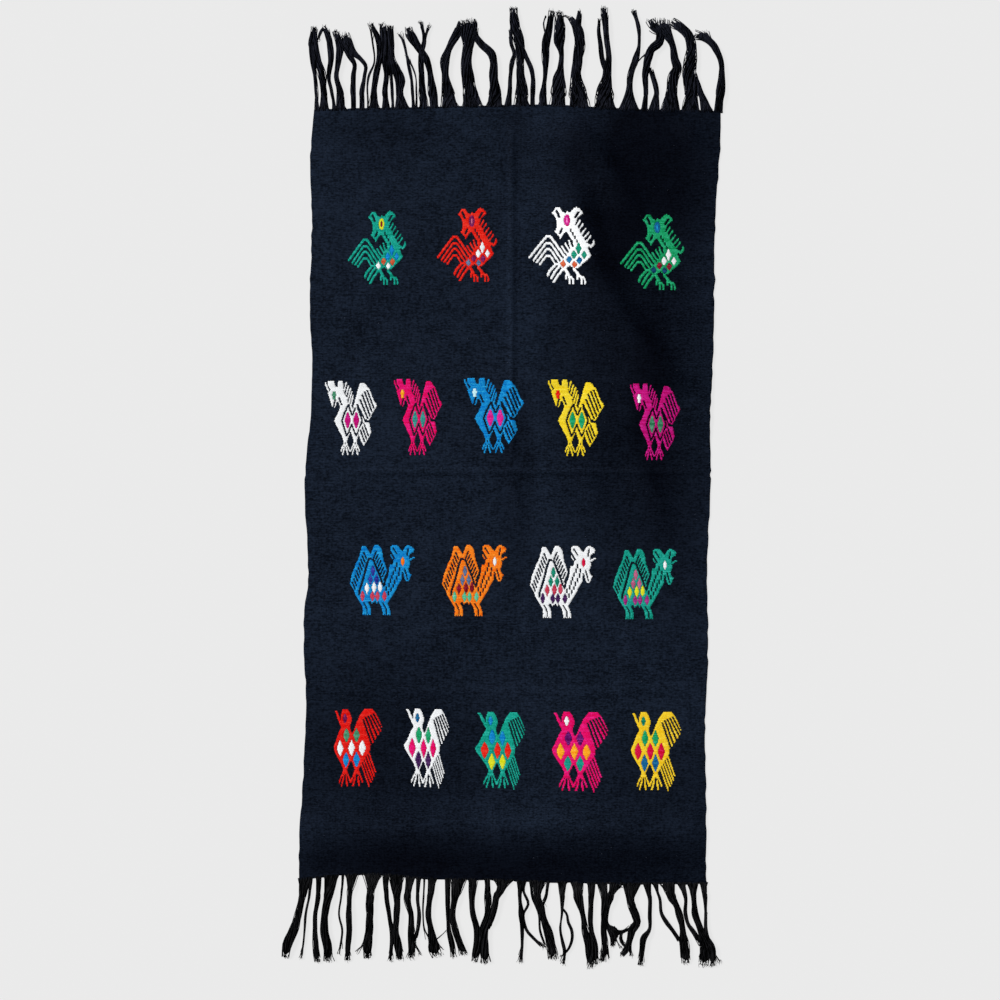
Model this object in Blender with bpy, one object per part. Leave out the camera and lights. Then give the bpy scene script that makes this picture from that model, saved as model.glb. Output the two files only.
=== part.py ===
"""A hand-woven table runner, laid out flat and face up.

The runner is one cotton cloth. Its own warp ends, left long at both ends, are the fringe:
they lie beside each other in loose locks, rooted in the last picks of the weave.

Frame: the runner rests on z = 0 with its length along Y and its face up, and the origin is
under the middle of its whole outline. Sizes are metres, and the tables hold millimetres.
"""
from collections import namedtuple

import bmesh
import bpy
import numpy as np

MM = 0.001

# The cloth
CLOTH_THICKNESS = 1.2 * MM
CELL_ACROSS = 15 * MM
CELL_ALONG = 16 * MM
FLAT_END = 26 * MM          # no fold reaches the ends, which lie flat against the fringe
CREASE_SIDE = 5 * MM        # a pressed crease falls away within this much on each side
CREASE_HEIGHT = 1.1 * MM

# The fringe
SEAM_GAP = 0.4 * MM         # between the cloth's edge and the strip that holds the roots
STRIP_WIDTH = 2.0 * MM
STRIP_THICKNESS = 1.2 * MM
LEVEL = 12 * MM             # a lock has a section at each of these steps outwards
STATION = 16 * MM           # the lock tables give a place at each of these steps
FAN_LENGTH = 20 * MM        # within this the root's fan has drawn in to the lock's width
LOCK_GAP = 0.5 * MM
PUSH_ROUNDS = 400           # neighbouring locks are pushed apart this many times,
PUSH_SHARE = 0.51           # each by this share of what their gap lacks
LOCK_FLATTEN = 0.45         # a lock's height over its width
LOCK_LOWEST = 1.0 * MM
LOCK_HIGHEST = 2.8 * MM
LOCK_SHOULDER = 0.7         # width of a lock's top over its width on the surface
TIP_TAPER = 0.7

NAVY = (0.0070, 0.0097, 0.0176, 1.0)
NAVY_YARN = (0.0040, 0.0048, 0.0075, 1.0)
COTTON_ROUGHNESS = 0.92

# The selvedges: where each runs, from the top end to the bottom end
Side = namedtuple("Side", "along left right")
SIDES = (
    Side(380, -188, 219),
    Side(347, -191, 218),
    Side(267, -190, 213),
    Side(187, -192, 212),
    Side(107, -190, 210),
    Side(67, -192, 208),
    Side(27, -196, 209),
    Side(-13, -197, 208),
    Side(-53, -195, 206),
    Side(-93, -194, 205),
    Side(-133, -198, 206),
    Side(-173, -198, 206),
    Side(-213, -196, 204),
    Side(-253, -197, 203),
    Side(-293, -199, 204),
    Side(-373, -203, 204),
    Side(-397, -203, 204),
)

# The ends: each bows a little with the weft
End = namedtuple("End", "across along")
TOP_END = (
    End(-188, 377.5),
    End(-102, 379.5),
    End(-2, 382),
    End(48, 382.5),
    End(98, 379.5),
    End(178, 377),
    End(220, 376),
)
BOTTOM_END = (
    End(-204, -393),
    End(-157, -388.5),
    End(-118, -388),
    End(-80, -392),
    End(-26, -393),
    End(33, -395),
    End(98, -397),
    End(205, -397),
)

# Soft folds: the crest runs through three points, and falls off gently on the side where the
# other coordinate is smaller and more steeply on the far side. Lengthwise folds run along Y.
Fold = namedtuple("Fold", "lengthwise start middle end height near far")
FOLDS = (
    Fold(True, (66, 312), (98, 207), (180, 88), 5.0, 42, 27),
    Fold(True, (64, 372), (110, 312), (142, 258), 3.5, 32, 22),
    Fold(True, (172, 378), (190, 352), (206, 326), 2.6, 24, 17),
    Fold(True, (60, 380), (108, 230), (150, 40), 4.0, 72, 112),
    Fold(True, (74, 30), (92, -6), (112, -42), 2.4, 24, 18),
    Fold(True, (130, 34), (150, -6), (172, -48), 2.4, 24, 18),
    Fold(False, (-214, -342), (0, -346), (216, -344), 3.0, 42, 36),
)
FOLD_FADE = 30              # a fold rises to its height over this much from either end

# Pressed creases from the runner's storage folds: across the width and along the middle
Crease = namedtuple("Crease", "lengthwise place start end")
CREASES = (
    Crease(True, 10, 18, 372),
    Crease(False, 15, -160, 210),
)

# Locks of warp ends. Each row holds the root's place and fan, the lock's width and reach, and
# then its sideways place at each station outwards.
Lock = namedtuple("Lock", "root fan width reach path")
TOP_LOCKS = (
    Lock(-184.5, 5, 4.5, 81, (-186, -187, -189, -190, -188, -188)),
    Lock(-177, 9, 6.0, 76, (-178, -180, -183, -185, -186, -186)),
    Lock(-168, 4, 5.5, 82, (-171, -173, -171, -172, -177, -178)),
    Lock(-160, 11, 6.0, 77, (-162, -165, -163, -163, -167, -167)),
    Lock(-148.5, 5, 5.0, 72, (-148, -148, -151, -156, -159, -159)),
    Lock(-140, 5, 4.0, 60, (-140, -137, -142, -150, -150, -150)),
    Lock(-134.5, 2, 2.0, 82, (-134, -133, -129, -129, -132, -132)),
    Lock(-127, 11, 5.5, 84, (-128, -126, -123, -123, -127, -129)),
    Lock(-116, 6, 4.6, 84, (-117, -116, -117, -118, -121, -122)),
    Lock(-109, 3, 3.0, 82, (-110, -110, -112, -112, -116, -116)),
    Lock(-99, 14, 6.0, 82, (-102, -104, -107, -107, -110, -110)),
    Lock(-88.5, 3, 2.5, 79, (-89, -91, -94, -98, -97, -97)),
    Lock(-85, 2, 1.8, 50, (-85, -86, -91, -91, -91, -91)),
    Lock(-77, 9, 5.0, 86, (-79, -80, -80, -78, -77, -79)),
    Lock(-67, 8, 5.5, 66, (-69, -71, -74, -74, -74, -74)),
    Lock(-52, 16, 6.5, 85, (-54, -57, -57, -51, -42, -40)),
    Lock(-29, 21, 9.0, 87, (-32, -34, -36, -34, -34, -34)),
    Lock(-7, 16, 6.5, 86, (-7, -8, -9, -20, -27, -28)),
    Lock(5.5, 7, 3.8, 80, (8, 8, 11, 9, 8, 8)),
    Lock(19.5, 15, 7.5, 100, (20, 18, 18, 18, 13, 11)),
    Lock(30.5, 5, 3.7, 60, (31, 31, 26, 24, 24, 24)),
    Lock(41, 10, 5.0, 97, (41, 43, 43, 44, 47, 50)),
    Lock(56, 15, 8.0, 96, (56, 57, 58, 57, 58, 57)),
    Lock(77, 19, 8.0, 97, (76, 74, 75, 78, 75, 78)),
    Lock(103, 21, 8.0, 100, (103, 105, 103, 102, 100, 101)),
    Lock(126.5, 18, 3.8, 97, (127, 128, 134, 137, 136, 132)),
    Lock(141.5, 7, 5.5, 88, (144, 143, 146, 153, 150, 148)),
    Lock(152.5, 10, 4.0, 58, (154, 151, 154, 157, 157, 157)),
    Lock(168.5, 17, 6.5, 88, (169, 172, 173, 170, 162, 160)),
    Lock(188, 16, 8.0, 86, (189, 187, 189, 188, 176, 172)),
    Lock(204, 10, 4.5, 36, (200, 198, 198, 198, 198, 198)),
    Lock(215, 7, 5.0, 73, (218, 220, 218, 210, 198, 198)),
)
BOTTOM_LOCKS = (
    Lock(-197, 10, 6.5, 75, (-200, -203, -208, -215, -217)),
    Lock(-189.5, 3, 2.3, 76, (-193, -196, -198, -199, -201)),
    Lock(-183, 5, 4.0, 80, (-184, -187, -187, -186, -185)),
    Lock(-171, 13, 7.0, 79, (-174, -177, -178, -174, -174)),
    Lock(-160.5, 3, 1.8, 72, (-161, -163, -160, -162, -163)),
    Lock(-150, 13, 5.0, 78, (-153, -153, -153, -154, -154)),
    Lock(-129.5, 19, 6.5, 74, (-132, -132, -133, -135, -135)),
    Lock(-116, 5, 3.7, 79, (-115, -113, -110, -110, -112)),
    Lock(-105.5, 14, 6.0, 77, (-105, -105, -106, -104, -102)),
    Lock(-92, 9, 5.3, 75, (-95, -91, -91, -90, -91)),
    Lock(-84, 5, 3.0, 58, (-84, -83, -84, -85, -85)),
    Lock(-78, 2, 1.5, 56, (-78, -79, -77, -76, -76)),
    Lock(-69.5, 9, 6.0, 72, (-72, -73, -71, -68, -66)),
    Lock(-54.5, 5, 4.0, 75, (-54, -54, -53, -50, -49)),
    Lock(-43, 13, 5.5, 71, (-47, -49, -47, -41, -37)),
    Lock(-29, 10, 5.5, 78, (-30, -29, -25, -25, -28)),
    Lock(-16, 6, 5.0, 80, (-14, -16, -19, -19, -17)),
    Lock(1, 18, 5.0, 78, (-6, -9, -13, -13, -11)),
    Lock(18, 7, 3.5, 80, (18, 19, 20, 20, 18)),
    Lock(24, 2, 1.8, 68, (25, 23, 25, 38, 42)),
    Lock(36, 12, 7.0, 76, (36, 40, 46, 49, 51)),
    Lock(46, 3, 2.5, 28, (43, 45, 45, 45, 45)),
    Lock(59, 8, 2.6, 81, (60, 59, 58, 62, 61)),
    Lock(65.5, 3, 2.3, 72, (63, 65, 70, 68, 67)),
    Lock(75, 12, 6.0, 84, (77, 81, 83, 87, 88)),
    Lock(88.5, 8, 4.6, 81, (89, 89, 90, 94, 94)),
    Lock(100, 9, 5.0, 78, (103, 102, 101, 103, 105)),
    Lock(114, 11, 5.0, 62, (108, 108, 112, 113, 113)),
    Lock(130, 18, 6.0, 71, (129, 133, 130, 127, 126)),
    Lock(144.5, 8, 4.4, 82, (148, 148, 147, 140, 138)),
    Lock(152.5, 5, 3.0, 58, (158, 160, 170, 178, 178)),
    Lock(165.5, 15, 6.5, 80, (170, 177, 181, 182, 184)),
    Lock(178.5, 6, 3.5, 60, (183, 184, 190, 197, 197)),
    Lock(189.5, 10, 6.0, 82, (192, 193, 198, 203, 201)),
    Lock(199.5, 7, 4.5, 83, (203, 204, 204, 209, 210)),
)
TOP_ROOT_LINE = 379 * MM      # the lock tables count their stations from these two lines
BOTTOM_ROOT_LINE = -395 * MM


def clear_scene():
    """Remove every object that the file holds."""
    for thing in list(bpy.data.objects):
        bpy.data.objects.remove(thing, do_unlink=True)


def soft_step(t):
    """Rise from 0 to 1 without a corner: 3 t^2 - 2 t^3, held at 0 and 1 outside."""
    t = np.clip(t, 0.0, 1.0)
    return t * t * (3.0 - 2.0 * t)


def smooth_through(places, values, at):
    """Smooth curve through the values: cubic Hermite pieces with the neighbours' slopes."""
    places, values = np.asarray(places, float), np.asarray(values, float)
    if places[0] > places[-1]:
        places, values = places[::-1], values[::-1]
    slopes = np.gradient(values, places)
    at = np.clip(at, places[0], places[-1])
    piece = np.clip(np.searchsorted(places, at) - 1, 0, len(places) - 2)
    span = places[piece + 1] - places[piece]
    t = (at - places[piece]) / span
    return (
        values[piece] * (1 + 2 * t) * (1 - t) ** 2
        + values[piece + 1] * t * t * (3 - 2 * t)
        + slopes[piece] * span * t * (1 - t) ** 2
        - slopes[piece + 1] * span * t * t * (1 - t)
    )


def end_line(rows, x):
    """Y of an end of the cloth over the places x."""
    return smooth_through([r.across * MM for r in rows], [r.along * MM for r in rows], x)


def selvedge(side, y):
    """X of the left or the right selvedge at the places y."""
    return smooth_through([r.along * MM for r in SIDES], [getattr(r, side) * MM for r in SIDES], y)


def fold_height(x, y):
    """Height of the cloth's underside over the surface: soft folds, then pressed creases."""
    height = np.zeros_like(x)
    for fold in FOLDS:
        along, aside = (y, x) if fold.lengthwise else (x, y)
        points = np.array((fold.start, fold.middle, fold.end)) * MM
        runs, places = (points[:, 1], points[:, 0]) if fold.lengthwise else points.T
        off = aside - smooth_through(runs, places, along)
        profile = soft_step(1 - np.abs(off) / (np.where(off < 0, fold.near, fold.far) * MM))
        fade = FOLD_FADE * MM
        ends = soft_step((along - runs.min()) / fade) * soft_step((runs.max() - along) / fade)
        height += fold.height * MM * profile * ends
    for crease in CREASES:
        along, aside = (y, x) if crease.lengthwise else (x, y)
        profile = np.clip(1 - np.abs(aside - crease.place * MM) / CREASE_SIDE, 0, 1)
        inside = (along - crease.start * MM, crease.end * MM - along)
        height += CREASE_HEIGHT * profile * soft_step(np.minimum(*inside) / (FOLD_FADE * MM))
    to_end = np.minimum(end_line(TOP_END, x) - y, y - end_line(BOTTOM_END, x))
    return height * soft_step(to_end / FLAT_END)


def grid_lines(first, last, cell, creased):
    """Even grid lines from first to last, with three more lines over each pressed crease."""
    lines = list(np.linspace(first, last, round((last - first) / cell) + 1))
    for place in creased:
        lines = [line for line in lines if abs(line - place) > 1.4 * CREASE_SIDE]
        lines += [place - CREASE_SIDE, place, place + CREASE_SIDE]
    return np.array(sorted(lines))


def add_material(thing, name, colour, roughness):
    """Give the object its own cloth material."""
    material = bpy.data.materials.new(name)
    material.use_nodes = True
    shader = material.node_tree.nodes["Principled BSDF"]
    shader.inputs["Base Color"].default_value = colour
    shader.inputs["Roughness"].default_value = roughness
    shader.inputs["Metallic"].default_value = 0.0
    thing.data.materials.append(material)


def add_object(name, bm, colour):
    """Turn the bmesh into a named object with its material."""
    mesh = bpy.data.meshes.new(name)
    bm.to_mesh(mesh)
    bm.free()
    thing = bpy.data.objects.new(name, mesh)
    bpy.context.scene.collection.objects.link(thing)
    add_material(thing, name, colour, COTTON_ROUGHNESS)
    return thing


def woven_cloth():
    """The cloth: a grid drawn to the outline, lifted by its folds and given its thickness."""
    left, right = min(r.left for r in SIDES) * MM, max(r.right for r in SIDES) * MM
    bottom, top = min(r.along for r in BOTTOM_END) * MM, max(r.along for r in TOP_END) * MM
    columns = grid_lines(left, right, CELL_ACROSS, [c.place * MM for c in CREASES if c.lengthwise])
    rows = grid_lines(bottom, top, CELL_ALONG, [c.place * MM for c in CREASES if not c.lengthwise])
    bm = bmesh.new()
    bmesh.ops.create_grid(bm, x_segments=len(columns) - 1, y_segments=len(rows) - 1, size=1.0)
    steps = np.array([vertex.co[:2] for vertex in bm.verts]) / 2 + 0.5
    column = np.rint(steps[:, 0] * (len(columns) - 1)).astype(int)
    row = np.rint(steps[:, 1] * (len(rows) - 1)).astype(int)
    # The outline's sides are drawn in around the lengthwise crease, which stays straight
    middle, centre = (crease.place * MM for crease in CREASES)
    y = rows[row]
    x = np.where(
        columns[column] < middle,
        middle + (columns[column] - middle) * (selvedge("left", y) - middle) / (left - middle),
        middle + (columns[column] - middle) * (selvedge("right", y) - middle) / (right - middle),
    )
    # The ends are drawn in around the crosswise crease in the same way
    y = np.where(
        y < centre,
        centre + (y - centre) * (end_line(BOTTOM_END, x) - centre) / (bottom - centre),
        centre + (y - centre) * (end_line(TOP_END, x) - centre) / (top - centre),
    )
    z = fold_height(x, y)
    for vertex, place in zip(bm.verts, zip(x, y, z)):
        vertex.co = place
    cloth = add_object("woven_cloth", bm, NAVY)
    shell = cloth.modifiers.new("thickness", "SOLIDIFY")
    shell.thickness = CLOTH_THICKNESS
    shell.offset = 1.0
    return cloth


def spread(places, widths):
    """Push neighbours apart sideways, by halves, until each pair has its gap."""
    places = places.copy()
    for _ in range(PUSH_ROUNDS):
        lack = (widths[1:] + widths[:-1]) / 2 + LOCK_GAP - np.diff(places)
        push = np.clip(lack, 0, None) * PUSH_SHARE
        places[1:] += push
        places[:-1] -= push
    return places


def lock_width(lock, out):
    """Width of a lock at a distance outwards: the root's fan draws in to the lock's width."""
    return (lock.width + (lock.fan - lock.width) * (1 - soft_step(out / FAN_LENGTH))) * MM


def lock_places(locks):
    """Sideways place of each lock at each level, pushed clear of its neighbours.

    A lock takes part in a level as long as it reaches past the level before it.
    """
    levels = np.arange(0, max(lock.reach for lock in locks) * MM + LEVEL, LEVEL)
    places = np.zeros((len(levels), len(locks)))
    for number, lock in enumerate(locks):
        stations = np.arange(len(lock.path) + 1) * STATION
        places[:, number] = smooth_through(stations, np.array((lock.root, *lock.path)) * MM, levels)
    for step, level in enumerate(levels):
        here = [n for n, lock in enumerate(locks) if lock.reach * MM > level - LEVEL]
        widths = np.array([lock_width(locks[n], level) for n in here])
        places[step, here] = spread(places[step, here], widths)
    return levels, places


def section(bm, x, y, width, height):
    """Four corners of a lock's section: flat on the surface, narrower on top."""
    half, shoulder = width / 2, width / 2 * LOCK_SHOULDER
    corners = ((-half, 0), (half, 0), (shoulder, height), (-shoulder, height))
    return [bm.verts.new((x + off, y, up)) for off, up in corners]


def join_rings(bm, ring, following):
    """Join two four-cornered rings with four faces."""
    for a in range(4):
        b = (a + 1) % 4
        bm.faces.new((ring[a], ring[b], following[b], following[a]))


def fringe(name, end_rows, locks, root_line, outwards):
    """One end's fringe: a narrow strip along the cloth's edge and the locks that it holds."""
    levels, places = lock_places(locks)
    roots, fans = places[0], np.array([lock.fan for lock in locks]) * MM
    ends = (end_rows[0].across * MM, end_rows[-1].across * MM)
    cuts = np.sort(np.concatenate((roots - fans / 2, roots + fans / 2)))
    cuts = np.concatenate(([min(ends[0], cuts[0] - MM)], cuts, [max(ends[1], cuts[-1] + MM)]))
    bm = bmesh.new()
    rings = []
    for x in cuts:
        inner = end_line(end_rows, x) + outwards * SEAM_GAP
        outer = inner + outwards * STRIP_WIDTH
        corners = ((inner, 0), (outer, 0), (outer, STRIP_THICKNESS), (inner, STRIP_THICKNESS))
        rings.append([bm.verts.new((x, y, up)) for y, up in corners])
    for number, (ring, following) in enumerate(zip(rings, rings[1:])):
        holds_lock = number % 2 == 1
        for a in (0, 2, 3) if holds_lock else range(4):
            b = (a + 1) % 4
            bm.faces.new((ring[a], ring[b], following[b], following[a]))
        if not holds_lock:
            continue
        lock, track = locks[number // 2], places[:, number // 2]
        last = [ring[1], following[1], following[2], ring[2]]
        outs = [level for level in levels[1:] if level < lock.reach * MM - LEVEL / 4]
        for out in (*outs, lock.reach * MM):
            width = lock_width(lock, out) * (TIP_TAPER if out == lock.reach * MM else 1)
            height = np.clip(width * LOCK_FLATTEN, LOCK_LOWEST, LOCK_HIGHEST)
            y = root_line + outwards * out
            ring_out = section(bm, np.interp(out, levels, track), y, width, height)
            join_rings(bm, last, ring_out)
            last = ring_out
        bm.faces.new(last)
    bm.faces.new(rings[0])
    bm.faces.new(rings[-1])
    bmesh.ops.recalc_face_normals(bm, faces=bm.faces)
    return add_object(name, bm, NAVY_YARN)


def main():
    clear_scene()
    woven_cloth()
    fringe("fringe_top", TOP_END, TOP_LOCKS, TOP_ROOT_LINE, 1)
    fringe("fringe_bottom", BOTTOM_END, BOTTOM_LOCKS, BOTTOM_ROOT_LINE, -1)


main()
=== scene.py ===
"""Looks of the woven table runner: navy cotton, four rows of brocaded animals and a loose fringe.

The runner lies flat and face up with its length along Y, seen from straight above with +Y upwards
in the picture. Tables hold millimetres, and the meshes are built in metres.
"""
from collections import namedtuple

import bpy
import numpy as np
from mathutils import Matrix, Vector


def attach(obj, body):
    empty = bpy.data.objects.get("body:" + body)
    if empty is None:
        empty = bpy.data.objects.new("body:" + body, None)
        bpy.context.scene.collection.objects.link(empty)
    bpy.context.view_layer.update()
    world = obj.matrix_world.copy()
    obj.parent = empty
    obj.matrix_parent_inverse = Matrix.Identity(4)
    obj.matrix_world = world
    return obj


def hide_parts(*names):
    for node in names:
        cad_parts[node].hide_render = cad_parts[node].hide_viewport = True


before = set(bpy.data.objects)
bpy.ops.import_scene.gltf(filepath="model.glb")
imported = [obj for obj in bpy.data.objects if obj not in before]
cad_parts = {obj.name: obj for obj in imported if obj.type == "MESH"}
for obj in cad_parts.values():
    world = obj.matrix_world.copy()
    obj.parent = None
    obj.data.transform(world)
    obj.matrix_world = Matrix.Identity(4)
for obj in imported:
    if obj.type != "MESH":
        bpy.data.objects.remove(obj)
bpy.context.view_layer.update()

MM = 0.001
RANDOM = np.random.default_rng(41)

# The cloth
THICKNESS = 1.2 * MM
CELL = 3.1 * MM             # the cloth's grid
FINE_CELL = 1.5 * MM        # the grid over a pressed crease
CREASE_ZONE = 7 * MM
EDGE_STEP = 0.4 * MM        # the grid's first line inside an edge
EDGE_BAND = 1.2 * MM        # and its second
EDGE_ROUND = 0.3            # an edge is thinner by this share on its face and on its back
FLAT_END = 26 * MM
CREASE_SIDE = 5 * MM
CREASE_HEIGHT = 1.1 * MM
PICK = 1.15 * MM            # one weft yarn after the next
WARP_PITCH = 0.8 * MM

# The light and the camera
WHITE_LEVEL = 1.1           # what an upward white surface gets, so colours are divided by it
CAMERA_HEIGHT = 3.2
CAMERA_CENTRE = (-0.002, -0.013)
PICTURE_WIDTH = 1.0         # metres of floor across the picture
SENSOR = 36.0
FLOOR_COLOUR = 0.04
FLOOR_GLOW = 0.765
FLOOR_LEVEL = -0.0003
FLOOR_REACH = 4.0
KEY_FROM = (-0.68, 0.44, 0.52)
KEY_STRENGTH = 5.7
KEY_SOFTNESS = 0.30
SKY_LEVEL = 0.12

# The selvedges, from the top end to the bottom end
Side = namedtuple("Side", "along left right")
SIDES = (
    Side(380, -188, 219),
    Side(347, -191, 218),
    Side(267, -190, 213),
    Side(187, -192, 212),
    Side(107, -190, 210),
    Side(67, -192, 208),
    Side(27, -196, 209),
    Side(-13, -197, 208),
    Side(-53, -195, 206),
    Side(-93, -194, 205),
    Side(-133, -198, 206),
    Side(-173, -198, 206),
    Side(-213, -196, 204),
    Side(-253, -197, 203),
    Side(-293, -199, 204),
    Side(-373, -203, 204),
    Side(-397, -203, 204),
)

# The ends, each bowed a little with the weft
TOP_END = (
    (-188, 377.5), (-102, 379.5), (-2, 382), (48, 382.5), (98, 379.5), (178, 377), (220, 376),
)
BOTTOM_END = (
    (-204, -393), (-157, -388.5), (-118, -388), (-80, -392), (-26, -393), (33, -395),
    (98, -397), (205, -397),
)

TOP_BOW = 380 * MM          # where the weft bows as much as an end does; it is straight at y = 0
BOTTOM_BOW = -395 * MM

# Small waves along the edges: their size, how many random knots they run through, and how far
# they reach into the cloth
Scallop = namedtuple("Scallop", "size knots reach")
SELVEDGE_SCALLOP = Scallop(0.35 * MM, 110, 9 * MM)
END_SCALLOP = Scallop(0.3 * MM, 60, 6 * MM)

# Soft folds: a crest through three points, gentle towards the smaller coordinate (near) and
# steeper beyond (far). Lengthwise folds run along Y.
Fold = namedtuple("Fold", "lengthwise start middle end height near far")
FOLDS = (
    Fold(True, (66, 312), (98, 207), (180, 88), 5.0, 42, 27),
    Fold(True, (64, 372), (110, 312), (142, 258), 3.5, 32, 22),
    Fold(True, (172, 378), (190, 352), (206, 326), 2.6, 24, 17),
    Fold(True, (60, 380), (108, 230), (150, 40), 4.0, 72, 112),
    Fold(True, (74, 30), (92, -6), (112, -42), 2.4, 24, 18),
    Fold(True, (130, 34), (150, -6), (172, -48), 2.4, 24, 18),
    Fold(False, (-214, -342), (0, -346), (216, -344), 3.0, 42, 36),
)
FOLD_FADE = 30

# Small wrinkles that only the finished cloth shows
WRINKLES = (
    Fold(True, (20, -100), (28, -140), (32, -170), 1.2, 8, 7),
    Fold(True, (-10, -305), (-4, -340), (5, -378), 1.0, 7, 6),
    Fold(True, (8, 20), (14, -10), (20, -40), 1.2, 10, 8),
    Fold(True, (16, 345), (20, 330), (28, 318), 0.8, 7, 6),
    Fold(False, (-190, -203), (0, -205), (200, -203), 0.5, 8, 7),
    Fold(False, (-190, 106), (0, 107), (205, 104), 0.5, 8, 7),
    Fold(True, (-140, 150), (-128, 110), (-110, 70), 0.7, 16, 12),
    Fold(True, (-60, 40), (-72, -40), (-66, -130), 0.6, 18, 14),
    Fold(True, (120, -90), (128, -150), (120, -220), 0.7, 16, 14),
    Fold(True, (-150, -180), (-140, -205), (-120, -230), 0.8, 14, 12),
)

# Pressed creases from storage: along the middle, and across the width
Crease = namedtuple("Crease", "lengthwise place start end")
CREASES = (
    Crease(True, 10, 18, 372),
    Crease(False, 15, -160, 210),
)


def soft_step(t):
    """Rise from 0 to 1 without a corner: 3 t^2 - 2 t^3, held at 0 and 1 outside."""
    t = np.clip(t, 0.0, 1.0)
    return t * t * (3.0 - 2.0 * t)


def smooth_through(places, values, at):
    """Smooth curve through the values: cubic Hermite pieces with the neighbours' slopes."""
    places, values = np.asarray(places, float), np.asarray(values, float)
    if places[0] > places[-1]:
        places, values = places[::-1], values[::-1]
    slopes = np.gradient(values, places)
    at = np.clip(at, places[0], places[-1])
    piece = np.clip(np.searchsorted(places, at) - 1, 0, len(places) - 2)
    span = places[piece + 1] - places[piece]
    t = (at - places[piece]) / span
    return (
        values[piece] * (1 + 2 * t) * (1 - t) ** 2
        + values[piece + 1] * t * t * (3 - 2 * t)
        + slopes[piece] * span * t * (1 - t) ** 2
        - slopes[piece + 1] * span * t * t * (1 - t)
    )


def end_line(rows, x):
    """Y of an end of the cloth over the places x."""
    across, along = np.array(rows, float).T * MM
    return smooth_through(across, along, x)


def selvedge(side, y):
    """X of the left or the right selvedge at the places y."""
    along = [r.along * MM for r in SIDES]
    return smooth_through(along, [getattr(r, side) * MM for r in SIDES], y)


def ridge(fold, x, y):
    """One soft fold: its height times soft_step(1 - off / side), faded in at both ends."""
    along, aside = (y, x) if fold.lengthwise else (x, y)
    points = np.array((fold.start, fold.middle, fold.end)) * MM
    runs, places = (points[:, 1], points[:, 0]) if fold.lengthwise else points.T
    off = aside - smooth_through(runs, places, along)
    profile = soft_step(1 - np.abs(off) / (np.where(off < 0, fold.near, fold.far) * MM))
    fade = FOLD_FADE * MM
    ends = soft_step((along - runs.min()) / fade) * soft_step((runs.max() - along) / fade)
    return fold.height * MM * profile * ends


def relief(x, y):
    """Height of the cloth's underside: folds, wrinkles and creases, flat at both ends."""
    height = np.zeros_like(x)
    for fold in FOLDS + WRINKLES:
        height += ridge(fold, x, y)
    for crease in CREASES:
        along, aside = (y, x) if crease.lengthwise else (x, y)
        profile = np.clip(1 - np.abs(aside - crease.place * MM) / CREASE_SIDE, 0, 1)
        inside = np.minimum(along - crease.start * MM, crease.end * MM - along)
        height += CREASE_HEIGHT * profile * soft_step(inside / (FOLD_FADE * MM))
    to_end = np.minimum(end_line(TOP_END, x) - y, y - end_line(BOTTOM_END, x))
    return height * soft_step(to_end / FLAT_END)


def wander(count, steps, amount, knots):
    """Smooth random offsets: count rows of steps values through knots random values each."""
    values = RANDOM.normal(0, amount, (count, knots))
    at = np.linspace(0, knots - 1, steps)
    piece = np.minimum(at.astype(int), knots - 2)
    t = soft_step(at - piece)
    return values[:, piece] * (1 - t) + values[:, piece + 1] * t


# Noise in the paints: waves a metre along x, y and z, its detail, and its share in the tone
Noise = namedtuple("Noise", "waves detail share", defaults=(1.0,))
GRAIN = Noise((400.0, 720.0, 400.0), 2.0, 2.0)
STREAK = Noise((60.0, 800.0, 60.0), 3.0, 0.9)
WARP_STREAK = Noise((700.0, 60.0, 60.0), 2.0, 0.5)
MOTTLE = Noise((38.0, 52.0, 38.0), 4.0, 0.6)
BROAD = Noise((7.0, 9.0, 7.0), 2.0, 0.5)
LINT = Noise((620.0, 760.0, 620.0), 1.0)
FLOAT_FIBRE = Noise((420.0, 3400.0, 900.0), 2.0, 0.24)
FLOAT_SOFT = Noise((160.0, 420.0, 160.0), 2.0, 0.18)
WARP_FIBRE = Noise((800.0, 130.0, 800.0), 3.0, 1.1)
WARP_SLOW = Noise((90.0, 45.0, 90.0), 2.0, 0.6)

# Colours of the cotton as seen on the screen. The first two go from dark to light.
NAVY = (6, 11, 20), (27, 36, 51)
# The darker navy of the painted shade, from dark to light
NAVY_IN_PAINTED_SHADE = (0, 1, 6), (7, 11, 21)
LINT_GREY = (78, 84, 98)
WARP_DARK = (1, 2, 3)
TOP_WARP = (34, 36, 46)
BOTTOM_WARP = (29, 29, 31)

# Where a tone turns from dark to light: its start and its width
CLOTH_TONE = (0.41, 0.18)
LINT_TONE = (0.80, 0.05)
WARP_TONE = (0.68, 0.38)
FLOAT_TONE = 0.80           # a float's tone before its noise

# Relief of the cloth's weave: shares of the picks, of the ends over them and of the streaks
WEAVE_PICKS = 0.5
WEAVE_ENDS = 0.35
WEAVE_STREAKS = 0.8
PICK_WAVER = 5.0            # how far streaks bend the picks, in radians

# Painted shade: spots where the navy is painted darker to stand for the shade over the folds and the bottom
# end: right, up, reach across, reach up, amount
PAINTED_SHADE_SPOTS = (
    (130, 150, 95, 300, 0.8),
    (150, 75, 28, 120, 0.3),
    (195, 350, 95, 130, 0.75),
    (110, 345, 60, 60, 0.4),
    (106, 250, 45, 62, 0.45),
    (62, 318, 34, 85, 0.4),
    (14, 345, 26, 70, 0.35),
    (14, 0, 24, 130, 0.4),
    (192, -60, 60, 130, 0.4),
    (-117, 355, 60, 45, 0.25),
    (0, -390, 320, 55, 1.0),
    (-130, -275, 150, 130, 0.5),
    (170, -310, 110, 80, 0.45),
)


# Shader trees


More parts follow.
